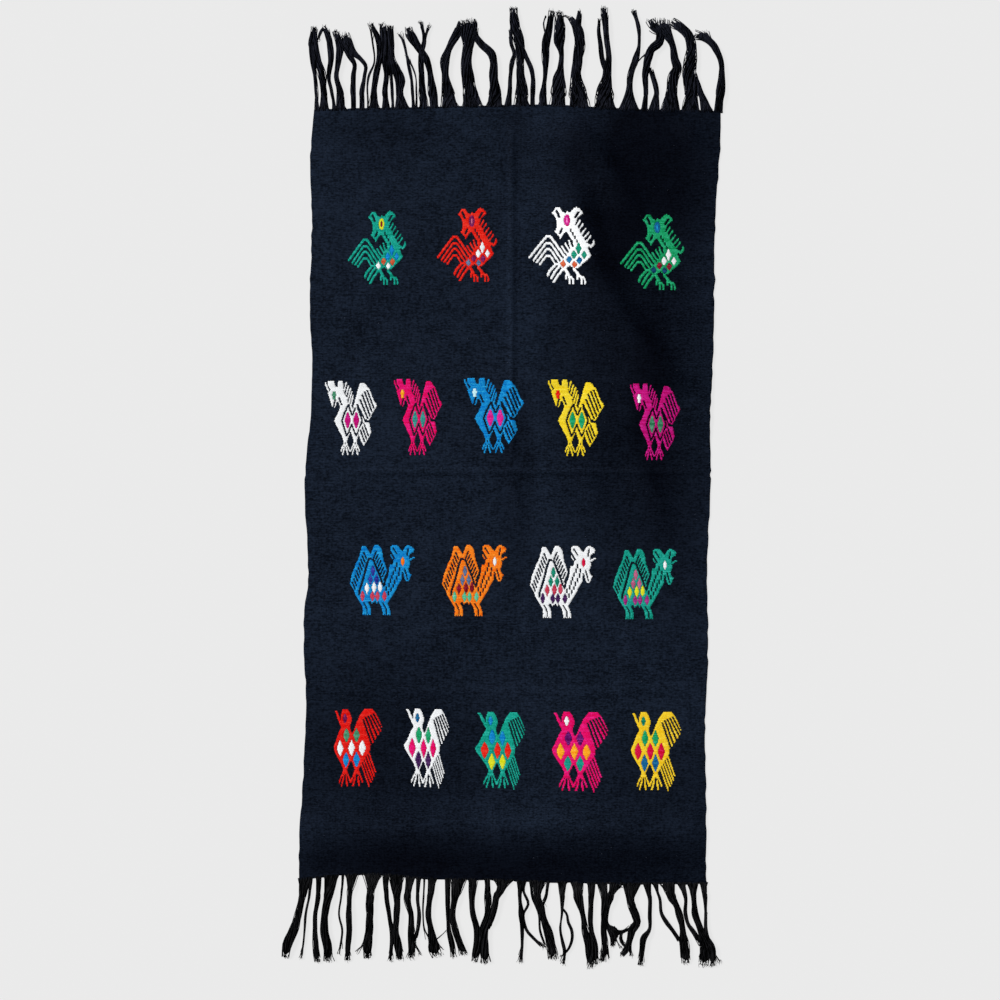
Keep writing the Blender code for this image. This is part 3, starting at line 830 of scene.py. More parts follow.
# Yarns by name, in round colours as seen on the cloth
YARNS = {
    "teal green": (22, 160, 140),
    "deep green": (22, 136, 108),
    "sage": (72, 142, 108),
    "red": (228, 38, 26),
    "white": (244, 246, 248),
    "green": (28, 160, 104),
    "hot pink": (228, 16, 108),
    "blue": (20, 138, 206),
    "deep blue": (22, 100, 150),
    "yellow": (244, 216, 48),
    "magenta": (196, 20, 124),
    "orchid": (160, 46, 130),
    "sea green": (60, 150, 144),
    "orange": (246, 128, 28),
    "teal": (26, 156, 138),
    "rose red": (222, 28, 22),
    "gold": (242, 204, 44),
    "amber": (252, 172, 40),
    "indigo": (52, 56, 150),
    "plum": (120, 30, 90),
    "purple": (104, 24, 110),
    "fuchsia": (222, 38, 150),
    "dark purple": (66, 32, 84),
    "slate blue": (96, 118, 155),
    "maroon": (130, 22, 44),
    "mint": (95, 190, 150),
    "crimson": (212, 16, 66),
    "brick": (206, 95, 60),
    "rose": (200, 66, 90),
    "dusty pink": (190, 100, 135),
    "pale pink": (240, 110, 190),
    "pale blue": (205, 240, 246),
    "navy": (18, 62, 100),
    "lime": (222, 224, 40),
}
LIGHTER = 0.7               # a yarn's light tone is its colour to this power
DARKER = 1.5                # and its dark tone to this

# Places in mm, then how far the drawing leans to its left side, then the yarns of the parts that
# its chart has: MAIN, EYE, FIRST, SECOND, THIRD, PUPIL
Motif = namedtuple("Motif", "left top width height lean yarns")
BIRDS = (
    Motif(-154, 276, 58, 74, 1, ("teal green", "lime", "blue", "brick", "white", "maroon")),
    Motif(-65, 279, 60, 74, 1, ("red", "plum", "white", "plum", "slate blue", "dusty pink")),
    Motif(26.5, 280, 66, 77, 1, ("white", "magenta", "deep green", "deep blue", "brick", "pale pink")),
    Motif(118, 273, 64, 76, 1, ("green", "deep blue", "white", "maroon", "navy", "blue")),
)
BEASTS = (
    Motif(-177, 106, 52, 74, 1, ("white", "sage", "magenta")),
    Motif(-108, 108, 48, 76, 1, ("hot pink", "amber", "sea green")),
    Motif(-38, 109, 60, 75, 1, ("blue", "pale blue", "fuchsia")),
    Motif(46, 107, 56, 76, 1, ("yellow", "red", "green")),
    Motif(128, 103, 50, 76, 1, ("magenta", "white", "sage")),
)
CAMELS = (
    Motif(-152, -58, 65, 70, 1, ("blue", "orange", "indigo", "white", "rose")),
    Motif(-60, -58, 65, 71, 1, ("orange", "white", "slate blue", "maroon", "mint")),
    Motif(28, -59, 66, 72, 1, ("white", "crimson", "deep green", "rose", "dark purple")),
    Motif(111, -62, 64, 70, 1, ("teal", "white", "dusty pink", "lime", "orchid")),
)
PEACOCKS = (
    Motif(-168, -222, 48, 78, 1.22, ("rose red", "plum", "sage", "white", "blue")),
    Motif(-98, -222, 45, 79, 1, ("white", "deep blue", "green", "hot pink", "dark purple")),
    Motif(-27, -225, 50, 77, 0.97, ("teal green", "blue", "blue", "red", "lime")),
    Motif(50, -225, 56, 80, 1.12, ("hot pink", "white", "purple", "amber", "teal")),
    Motif(129, -225, 50, 79, 1.16, ("gold", "deep green", "green", "crimson", "deep blue")),
)
DIAMOND_HEIGHTS = (0.86, 1.0, 0.92, 0.86, 0.96)     # of the peacocks, in shares of the chart's


def floats(chart, motif):
    """A motif's floats as columns of points on the cloth, their faces and colours.

    Each pick's covered half cells join into runs of one yarn. A run is a low pillow: its
    height is full inside, falls to its ends over 1 mm and dips where the warp ties it down.
    Fine fibres lie round it as a narrow flat skirt, painted in a dark tone of its yarn as painted shade
    between the floats.
    """
    yarns = chart.yarns
    picks, halves = yarns.shape
    change = np.ones((picks, halves), bool)
    change[:, 1:] = yarns[:, 1:] != yarns[:, :-1]
    run = np.cumsum(change.ravel()).reshape(picks, halves)
    pick, half = np.nonzero(yarns != BARE)
    run = run[pick, half]
    runs = run.max() + 1
    first, last = np.full(runs, halves), np.zeros(runs, int)
    np.minimum.at(first, run, half)
    np.maximum.at(last, run, half + 1)
    yarn_of, pick_of = np.zeros(runs, int), np.zeros(runs, int)
    yarn_of[run] = yarns[pick, half]
    pick_of[run] = pick
    # A column of points at each side of each half cell, shared inside a run
    keys = run * (halves + 1) + half
    columns, place = np.unique(np.concatenate((keys, keys + 1)), return_inverse=True)
    left, right = place[: len(run)], place[len(run):]
    column_run, column_half = columns // (halves + 1), columns % (halves + 1)
    column_pick = pick_of[column_run]
    start, end = first[column_run], last[column_run]
    at_start, at_end = column_half == start, column_half == end
    # Chart places to the cloth: the drawn part fills the motif's own width and height
    x_low, x_high = half.min(), half.max() + 1
    y_low, y_high = pick.min(), pick.max() + 1
    wide = len(FLOAT_ROWS)
    share = ((column_half - x_low) / (x_high - x_low)) ** motif.lean
    down = (column_pick[:, None] + FLOAT_ROWS - y_low) / (y_high - y_low)
    x = np.repeat((motif.left + share * motif.width)[:, None], wide, 1) * MM
    y = (motif.top - down * motif.height) * MM
    # The picks follow the cloth's bow, more so towards its ends
    centre = np.array((motif.left + motif.width / 2) * MM)
    rows, bow = (TOP_END, TOP_BOW) if motif.top > 0 else (BOTTOM_END, BOTTOM_BOW)
    y = y + (end_line(rows, x) - end_line(rows, centre)) * y / bow
    to_end = np.minimum(column_half - start, end - column_half)
    rise = soft_step(to_end * CELL_WIDE / 2 / FLOAT_ROUND)
    tied = ((column_half + TIE_SHIFT * column_pick) % TIE_EVERY == 0) & (to_end > TIE_INSIDE)
    swell = FLOAT_EDGE + (FLOAT_HEIGHT - FLOAT_EDGE) * FLOAT_CREST
    height = swell * (FLOAT_END + (1 - FLOAT_END) * rise * (1 - TIE_DIP * tied))[:, None]
    # Each run has its own tone, which drifts along it: its colour to a power about 1
    plain = np.array([linear(YARNS[name]) for name in motif.yarns])[yarn_of[column_run]]
    tone = RANDOM.normal(0, RUN_TONE, runs)[column_run]
    tone = np.clip(tone + RANDOM.normal(0, DRIFT_TONE, len(columns)), -1, 1)[:, None]
    power = 1 - np.maximum(tone, 0) * (1 - LIGHTER) - np.minimum(tone, 0) * (DARKER - 1)
    colour = np.repeat((plain ** power)[:, None], wide, 1)
    # Painted shade: the fuzz gets a dark tone of the yarn, with its grey taken out, to stand for the shade
    # between floats
    shade = FUZZ_PAINTED_SHADE * (plain - FUZZ_HUE * plain.min(-1, keepdims=True))
    # The outer rows are the fuzz, and so are the columns beyond a float's two ends
    drawn_in_by = np.minimum(DRAWN_IN, DRAWN_IN_SHARE * ((end - start) * CELL_WIDE / 2))
    x += (drawn_in_by * (at_start * 1.0 - at_end))[:, None]
    y[:, 0] += FUZZ * FUZZ_ASIDE
    y[:, -1] -= FUZZ * FUZZ_ASIDE
    height[:, (0, -1)] = FUZZ_HEIGHT
    colour[:, (0, -1)] = shade[:, None]
    ends = []
    # The fuzz beyond a float's two ends carries the same painted shade
    for at, way in ((at_start, -1), (at_end, 1)):
        dark = np.repeat(shade[at][:, None], wide, 1)
        ends.append((x[at] + way * FUZZ, y[at], np.full_like(x[at], FUZZ_HEIGHT), dark))
    count = len(x)
    started, ended = np.cumsum(at_start) - 1, np.cumsum(at_end) - 1
    x, y, height, colour = (np.concatenate(rows) for rows in zip((x, y, height, colour), *ends))
    points = np.stack((x, y, relief(x, y) + THICKNESS + height), -1)
    colours = np.concatenate((colour / WHITE_LEVEL, np.ones((*x.shape, 1))), -1)
    before, after = np.nonzero(at_start)[0], np.nonzero(at_end)[0]
    west = np.concatenate((left, count + started[before], after))
    east = np.concatenate((right, before, count + len(before) + ended[after]))
    row = np.arange(wide - 1)
    a, b = west[:, None] * wide + row, east[:, None] * wide + row
    faces = np.stack((a, a + 1, b + 1, b), -1)
    return points.reshape(-1, 3), faces.reshape(-1, 4), colours.reshape(-1, 4)


def brocade(name, charts, motifs, material):
    """One row of motifs, each from its chart."""
    points, faces, colours = join(floats(chart, motif) for chart, motif in zip(charts, motifs))
    return add_piece(name, points, faces, material, colours)


# The fringe: locks of warp ends. A lock is a row of stops, each its distance out from the root
# line, its sideways place and its width. Stops are joined by a smooth curve.

TOP_ROOT_LINE = 379 * MM
BOTTOM_ROOT_LINE = -395 * MM
YARN_RADIUS = 0.52 * MM
YARN_VARIES = (0.85, 0.3)   # a yarn's share of that radius: the least, and what is added at most
SIDES_OF_YARN = 4
RING_STEP = 3.2 * MM        # between one ring of a yarn and the next
FULLNESS = 1.2              # locks spread a little wider than their tightest outline
NEARLY_ZERO = 1e-9

# How many yarns a lock has. One that starts within ROOTED_WITHIN of the cloth grows out of it.
ROOTED_WITHIN = 6 * MM
ROOTED_YARNS = 1.2          # for each millimetre of its root
LOOSE_YARNS = 1.4           # for each millimetre of a loose lock's mean width
ROOT_AT_LEAST = 1.8         # a root counts as this many mean widths or more
YARN_COUNTS = (2, 34)

# How its yarns run: flat and fanned at the root, then wound round each other, then loose
ROOT_DEPTH = 2.0 * MM       # a yarn starts this far inside the cloth's edge
ROOT_BEND = 10 * MM         # and leaves the edge's line over this
ROOT_LIFT = 0.3 * MM
BOUND_AFTER = 15 * MM       # from here on it is wound and no longer fanned
LOOSE_AFTER = 8 * MM        # and from here on as loose as it gets
TIP = 9 * MM                # the last stretch, where it spreads, sinks and thins
TIP_SPREAD = 0.9 * MM
TIP_FLATTER = 0.6
TIP_THINNER = 0.15
TIP_SHORTER, TIP_LONGER = 0.11, 0.02    # where a yarn may end, in shares of the lock's length
INNER_RING = 0.45           # every third yarn is wound this share as far out as the others
WOUND_INSET = 1.6           # radii that the winding stays inside the lock's width
TURN = (0.10, 0.08)         # metres to a turn: the least, and what is added at most
WANDER_ASIDE = 0.32 * MM
WANDER_UP = 0.12 * MM
LOCK_TALL = 0.26            # half a lock's height in shares of its width,
LOCK_HEIGHTS = (0.25 * MM, 1.6 * MM)    # kept within these
PHASE_VARIES = 0.5
FEWEST_RINGS = 4
RINGS_TO_KNOT = 4           # its wandering has a random knot for so many rings,
FEWEST_KNOTS = 3            # and no fewer than this

# The core inside a lock
CORELESS_BELOW = 4          # a lock with fewer yarns has none
CORE_SIDES = 12
FEWEST_CORE_RINGS = 8
CORE_RINGS_TO_KNOT = 3
CORE_FLUTES = 5
CORE_FLUTE_DEPTH = 0.07
CORE_LIFT = 0.2 * MM
CORE_LENGTH = 0.97          # shares of the lock's length and width
CORE_WIDE = 0.86
CORE_TALL = 0.20
CORE_HEIGHTS = (0.25 * MM, 1.3 * MM)
CORE_SHUT = 4 * MM          # it narrows towards its tip over this,
CORE_TIP = 0.1              # to this share of its width
CORE_TIP_TALL = 0.35        # this share of its height stays, and the rest goes as the width does
CORE_SWAY = 0.08            # spread of its width along the lock
CORE_ROOT_TALL = 0.32 * MM  # half its height at the root,
CORE_RISE = 12 * MM         # from which it rises to its own over this

# The loose fibres, in millimetres and radians
HAIRS = 1.4                 # for each millimetre of a lock's mean width
HAIR_COUNTS = (3, 12)
HAIR_SCATTER, HAIR_INSIDE = 0.3, 0.42   # spread and limit of their roots, in widths of the lock
HAIR_BACK = 2.0             # they start this far back along the lock, with the same scatter,
HAIR_CLEAR = 2.0            # and stay this far out from the root line
HAIR_RINGS = 9
TIP_HAIRS = 5               # one fibre in so many starts along the lock and the rest at its tip
HAIR_TURN = 0.4
HAIR_LENGTHS = (2, 4.5)
HAIR_BEND = 0.6
HAIR_HEIGHTS = (0.4, 1.6)
HAIR_RADIUS = 0.3 * MM

TOP_LOCKS = (
    ((0, -184.5, 5), (16, -186, 3.4), (32, -187, 4), (48, -189, 5), (64, -190.5, 4), (81, -188, 3)),
    ((56, -190.5, 2), (64, -193, 1.5), (74, -191, 1.5), (80, -188, 1.5)),
    ((0, -178, 10), (16, -178, 5.4), (32, -180, 7), (48, -184, 6), (64, -186.5, 5), (79, -187, 4)),
    ((0, -167.5, 4), (16, -170, 3), (32, -173.5, 4), (48, -171, 5), (64, -172, 5.5), (82, -177, 4)),
    ((72, -175, 3), (79, -179, 3), (74, -182, 3), (68, -184, 3)),
    ((0, -161.5, 12), (16, -162, 6.5), (32, -165.5, 4), (48, -163, 5), (62, -162, 7), (77, -167, 4)),
    ((0, -148.4, 5), (32, -148.5, 4.6), (44, -147.5, 4), (50, -151, 5), (60, -156, 6), (72, -158.5, 9)),
    ((0, -140, 5), (16, -140, 4.2), (32, -137.5, 3.5), (42, -136.5, 3.5), (49, -142, 4), (56, -149, 6),
     (66, -155, 9), (74, -158, 9)),
    ((0, -134, 2), (32, -133, 1.5), (44, -128, 1.5), (64, -129, 1.5), (82, -132, 1.5)),
    ((0, -128, 12), (16, -127.8, 5.4), (32, -126, 5.4), (48, -123, 5), (64, -122.5, 5), (84, -131, 4)),
    ((0, -115.5, 8), (16, -117, 4.6), (32, -115.5, 4.6), (48, -117, 6), (64, -117.5, 6), (84, -121, 5)),
    ((0, -109, 3), (16, -109.6, 2.7), (32, -110.6, 2.7), (48, -113.5, 3), (64, -114, 3), (82, -117, 3)),
    ((0, -100, 15), (16, -102.4, 6), (28, -102, 9), (36, -105, 8), (48, -109.8, 4.5), (64, -110.5, 5),
     (82, -112, 5)),
    ((0, -88.5, 3), (32, -91, 3), (48, -94.5, 2.5), (64, -98, 2.5), (74, -102, 3)),
    ((0, -85.5, 2.5), (16, -85.4, 1.5), (32, -86.5, 1.5), (46, -92, 1.5), (52, -95, 1.5)),
    ((0, -78, 9), (16, -79.4, 6), (32, -80.3, 5), (56, -80.5, 5), (66, -78, 4), (86, -81, 2)),
    ((60, -79, 3), (72, -76.5, 2.5), (83, -72.5, 2)),
    ((0, -67.5, 8), (16, -69.4, 8), (32, -71.5, 5), (48, -75.5, 6), (56, -80.5, 6), (64, -86, 7),
     (72, -91, 8), (80, -94, 6)),
    ((0, -52.2, 18), (16, -54, 11), (32, -56.6, 6), (48, -56.8, 8), (56, -54, 6), (64, -50.7, 6),
     (76, -44, 7), (85, -41, 5)),
    ((0, -29, 22), (16, -32, 12), (32, -34, 10.5), (48, -35.7, 8.5), (64, -33.5, 9.5), (80, -34, 16),
     (88, -35, 14)),
    ((0, -7.5, 17), (16, -7, 10), (32, -8.2, 7.6), (48, -8.8, 6.5), (53, -10, 7), (64, -21, 6),
     (74, -27.5, 6), (86, -27, 5)),
    ((0, 5.5, 8), (16, 7.6, 4), (32, 8.4, 3.5), (48, 11, 4), (53, 12.2, 3.5), (64, 9.2, 3.5), (78, 8.5, 3)),
    ((0, 19.7, 16), (16, 19.7, 10.7), (32, 18.5, 7), (48, 18, 6.5), (64, 17.8, 8.4), (80, 13.2, 9),
     (100, 11, 6)),
    ((0, 30.6, 5), (16, 30.6, 4), (32, 30.8, 3.5), (38, 29.5, 4), (48, 25.5, 4), (62, 20, 4)),
    ((0, 41, 10), (16, 41.2, 5.7), (30, 43, 3.2), (48, 43.5, 5.7), (64, 43.8, 7), (80, 47, 6),
     (97, 50, 4.5)),
    ((76, 43, 1.5), (84, 41.5, 1.5), (92, 44, 1.5)),
    ((0, 56, 16), (16, 56.5, 13), (30, 57, 10), (40, 58.5, 5.5), (58, 59, 5), (66, 57.3, 9), (80, 58, 9),
     (96, 57, 5)),
    ((88, 57, 2), (92, 62, 2), (90, 67, 2)),
    ((0, 77, 20), (16, 75.8, 15), (32, 74, 9), (48, 75.4, 8.5), (64, 77.6, 8.6), (80, 75.2, 8), (90, 68, 3)),
    ((64, 77, 5), (80, 76, 6), (97, 78, 4)),
    ((0, 103, 22), (16, 102.6, 14.5), (32, 105.2, 7.6), (42, 105.5, 6.5), (48, 106.5, 5), (64, 105, 4.5),
     (80, 103.5, 5), (100, 102, 6)),
    ((36, 104, 4), (48, 100.5, 5), (64, 98.3, 4.5), (80, 96.6, 3.5), (89, 98, 3)),
    ((0, 126.5, 19), (16, 127, 6.2), (32, 128.5, 4.8), (48, 133.6, 5.5), (64, 136.9, 2.6), (80, 136.5, 3.3),
     (97, 131.4, 3.3)),
    ((44, 134, 2), (50, 139, 1.5), (54, 144, 1.5)),
    ((0, 142, 7), (16, 144, 3.7), (32, 143.3, 5.5), (48, 145.9, 7), (58, 149, 7), (66, 157, 7.5),
     (74, 158, 8), (82, 151, 8), (88, 148, 8)),
    ((0, 152, 11), (16, 154.5, 4), (24, 153, 4), (40, 147, 4)),
    ((0, 168, 19), (16, 169.5, 9.5), (32, 171.7, 9.5), (40, 175, 8.5), (48, 172.7, 7.5), (64, 170, 5.5),
     (72, 166, 8), (80, 162, 12), (88, 161, 10)),
    ((0, 188.5, 17), (16, 189.5, 12.5), (32, 187, 12), (48, 188.5, 11), (58, 189.5, 9), (66, 188.5, 8),
     (74, 185, 8), (81, 177, 8), (86, 169, 7)),
    ((0, 205, 12), (11, 200, 6), (24, 196, 4), (34, 191, 4)),
    ((0, 216, 8), (16, 218.2, 8), (32, 219.8, 5.6), (48, 218.5, 5), (58, 214, 6), (66, 208, 6),
     (71, 200, 7), (73, 192, 8)),
    ((60, 212, 3), (70, 206, 4), (76, 204, 4)),
)
BOTTOM_LOCKS = (
    ((0, -197, 12), (16, -200.2, 6), (32, -203.3, 6), (48, -208.3, 8), (64, -215, 8), (75, -216.5, 6)),
    ((2, -190.5, 2.5), (16, -193, 2.5), (32, -196.2, 2.5), (48, -197.5, 2), (64, -199, 2),
     (76, -201.4, 1.5)),
    ((0, -183.4, 5), (16, -184, 3.5), (32, -186.6, 3.5), (48, -186.6, 4.2), (64, -186, 5.3),
     (80, -184.7, 6)),
    ((0, -170.4, 14), (16, -174.2, 7.6), (32, -177, 5.7), (48, -177.8, 7), (64, -174.2, 7.6),
     (79, -174.2, 7)),
    ((-6, -159, 2.5), (16, -161, 2), (32, -163, 2), (48, -159.7, 2), (64, -161.6, 2), (72, -163, 2.5)),
    ((-4, -150, 13), (8, -152, 5), (32, -153, 5), (48, -152.8, 5), (64, -154, 5), (78, -154.3, 3.5)),
    ((-5, -129.3, 20), (7, -131, 7), (16, -132, 7), (32, -132, 5.7), (48, -132.7, 6.5), (64, -134.6, 8),
     (76, -134.4, 5)),
    ((54, -135, 3), (64, -140, 2), (71, -144.4, 1.5)),
    ((-4, -116, 6), (16, -115.5, 4), (32, -113, 4), (48, -110.2, 4), (79, -111.6, 3.5)),
    ((-3, -105.5, 15), (16, -105, 6), (32, -105, 5.5), (48, -106.2, 5), (64, -103.6, 7), (77, -101.7, 6)),
    ((0, -91.7, 9), (16, -94.6, 6), (32, -91.2, 5), (48, -90.6, 5.5), (64, -90, 6), (76, -91, 7)),
    ((58, -89, 3), (66, -85, 2), (73, -82, 2)),
    ((0, -83.3, 5), (16, -84.5, 3.3), (32, -82.6, 3), (48, -84.3, 3), (60, -88, 3)),
    ((0, -77.5, 2), (32, -79, 1.5), (48, -77.2, 1.5), (56, -73.5, 1.5)),
    ((0, -69.5, 9), (16, -72, 5), (32, -73.4, 4.8), (48, -71, 5), (58, -69, 8), (66, -67.5, 11),
     (73, -64, 12)),
    ((58, -67, 1.5), (53, -60, 1.5), (48, -55, 1.5)),
    ((0, -54.2, 5.5), (32, -54, 4), (48, -53, 4), (64, -49.7, 4.5), (75, -49, 4)),
    ((0, -43, 15), (16, -47.4, 6), (32, -49.3, 4.5), (48, -46.6, 6), (64, -41, 6), (72, -37.4, 6)),
    ((0, -29, 10), (16, -30, 5), (32, -29.2, 5.5), (48, -25, 6), (64, -25, 7), (79, -28, 6)),
    ((0, -15, 5), (16, -14, 6), (32, -14.5, 6), (48, -18.2, 8), (64, -18.2, 8), (81, -16, 7)),
    ((0, 1, 20), (8, -1, 9), (14, -5.3, 6), (24, -7, 5), (32, -9, 5), (46, -15, 5)),
    ((0, 19, 8), (16, 17.9, 3.2), (32, 19.4, 4.5), (48, 20.4, 3.5), (64, 20.2, 2.5), (80, 17.9, 4)),
    ((0, 24, 3), (8, 21.5, 2.5), (22, 26, 2.5), (32, 21.5, 2.5), (42, 22.5, 2.5), (48, 24.4, 2.5),
     (56, 31, 2.5), (66, 43, 2.5)),
    ((0, 37, 14), (16, 35.5, 6), (24, 38, 7), (32, 40, 5.5), (48, 45.8, 7.5), (64, 49.2, 8), (77, 50.8, 9)),
    ((2, 28.5, 3), (16, 31, 2.5), (32, 37, 2.5), (48, 38, 2), (64, 43.5, 2)),
    ((0, 46.5, 3), (16, 43.5, 3), (23, 41, 3)),
    ((1, 60.3, 10), (16, 60, 4), (28, 60, 2.5), (48, 58.6, 2), (60, 60.5, 2.5), (70, 62.6, 2.5),
     (82, 61, 3)),
    ((26, 60, 2), (32, 64.6, 2.5), (40, 66.5, 2.5), (48, 69.9, 2.5), (57, 70.3, 2.5), (66, 67, 2.5),
     (75, 59, 2)),
    ((1, 75, 12), (16, 76.6, 8), (32, 80.6, 4.5), (48, 83.3, 6), (56, 85.5, 7.5), (64, 87.5, 8.4),
     (85, 88.3, 5)),
    ((1, 89.3, 8.5), (16, 89.2, 5), (48, 89.4, 4.6), (64, 93.6, 4), (82, 93.2, 5)),
    ((1, 100, 10), (16, 103, 7), (32, 102.4, 6), (48, 101.4, 5), (64, 102.8, 5), (79, 100, 4)),
    ((58, 102, 3), (66, 104.5, 3), (76, 107, 3)),
    ((1, 115, 16), (12, 109, 6), (16, 107.2, 7), (26, 105, 4), (44, 106, 4), (51, 112, 9), (57, 111, 5),
     (64, 110.6, 3)),
    ((50, 112, 2), (58, 114, 1.5), (66, 119, 1.5)),
    ((46, 110, 6), (50, 115, 5), (49.5, 121, 3), (45, 129, 3)),
    ((49, 120, 3), (56, 118.5, 2.5), (62, 121, 3), (66, 126, 4)),
    ((2, 129.5, 20), (16, 128.2, 7), (24, 130, 6.5), (32, 133.2, 7), (40, 135, 6.5), (48, 130, 7),
     (56, 128, 5), (68, 124, 5), (73, 120, 4)),
    ((58, 128, 4), (66, 128, 3), (74, 129, 3)),
    ((1, 144.5, 8), (16, 147.8, 4), (32, 147.6, 3.5), (48, 147.2, 3.5), (56, 141.3, 6), (64, 140.3, 5),
     (83, 138.2, 4)),
    ((1, 152.3, 7), (11, 155.8, 3), (16, 157.7, 3), (32, 159.6, 3), (40, 164, 4), (48, 170.3, 3.5),
     (62, 180, 4)),
    ((1, 165.7, 17), (11, 168.8, 9), (16, 170.3, 7), (22, 174, 5), (32, 177.2, 6), (48, 180.7, 5),
     (56, 181.6, 7), (81, 184, 8)),
    ((0, 178.7, 9), (16, 183.5, 3), (32, 183.5, 3.4), (42, 186, 3.5), (48, 190.2, 4), (62, 200, 5)),
    ((1, 190.7, 11), (16, 191.8, 4.6), (32, 193.3, 6), (48, 198.7, 6), (56, 201.3, 8), (64, 203, 9),
     (83, 201, 9)),
    ((0, 201, 8.5), (16, 203, 3.4), (32, 203.8, 2.7), (48, 203.8, 4), (56, 204.7, 6), (64, 209.4, 6),
     (84, 210, 5)),
    ((68, 211, 1.5), (74, 214, 1.5), (80, 218, 1.5)),
)


def tubes(paths, radii):
    """Closed four-sided tubes: P + r (cos a side + sin a up), with up square to the path."""
    tangent = np.gradient(paths, axis=1)
    tangent /= np.linalg.norm(tangent, axis=-1, keepdims=True)
    side = np.cross(tangent, (0.0, 0.0, 1.0))
    side /= np.maximum(np.linalg.norm(side, axis=-1, keepdims=True), NEARLY_ZERO)
    up = np.cross(side, tangent)
    angle = np.arange(SIDES_OF_YARN) * 2 * np.pi / SIDES_OF_YARN + np.pi / 4
    turn = np.cos(angle)[:, None] * side[:, :, None] + np.sin(angle)[:, None] * up[:, :, None]
    rings = paths[:, :, None] + radii[..., None, None] * turn
    index = np.arange(rings[..., 0].size).reshape(rings.shape[:3])
    here, there = index[:, :-1], index[:, 1:]
    walls = np.stack((here, there, np.roll(there, -1, 2), np.roll(here, -1, 2)), -1)
    caps = np.concatenate((index[:, 0], index[:, -1, ::-1]))
    return rings.reshape(-1, 3), np.concatenate((walls.reshape(-1, 4), caps))


def solid_core(x, y, half_wide, half_tall):
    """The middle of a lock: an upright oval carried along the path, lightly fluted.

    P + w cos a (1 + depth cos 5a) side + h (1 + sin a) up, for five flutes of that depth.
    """
    slope = np.gradient(x), np.gradient(y)
    norm = np.hypot(*slope)
    angle = np.arange(CORE_SIDES) * 2 * np.pi / CORE_SIDES + np.pi / CORE_SIDES
    fluted = 1 + CORE_FLUTE_DEPTH * np.cos(CORE_FLUTES * angle)
    reach = half_wide[:, None] * np.cos(angle) * fluted
    px = x[:, None] + reach * (slope[1] / norm)[:, None]
    py = y[:, None] - reach * (slope[0] / norm)[:, None]
    pz = half_tall[:, None] * (1 + np.sin(angle)) + CORE_LIFT
    index = np.arange(px.size).reshape(px.shape)
    here, there = index[:-1], index[1:]
    walls = np.stack((here, np.roll(here, -1, 1), np.roll(there, -1, 1), there), -1).reshape(-1, 4)
    low = np.arange(CORE_SIDES // 2 - 1)
    cap = np.stack((low, CORE_SIDES - 1 - low, CORE_SIDES - 2 - low, low + 1), -1)
    faces = np.concatenate((walls, index[0][cap], index[-1][cap[:, ::-1]]))
    if slope[1].mean() < 0:
        faces = faces[:, ::-1]
    return np.stack((px, py, pz), -1).reshape(-1, 3), faces


def from_cloth(x, y, s, rows, outwards):
    """Y led in to the cloth's edge: its distance from there times the root of a soft step."""
    edge = end_line(rows, x) - outwards * ROOT_DEPTH
    return edge + (y - edge) * soft_step(s / ROOT_BEND) ** 0.5


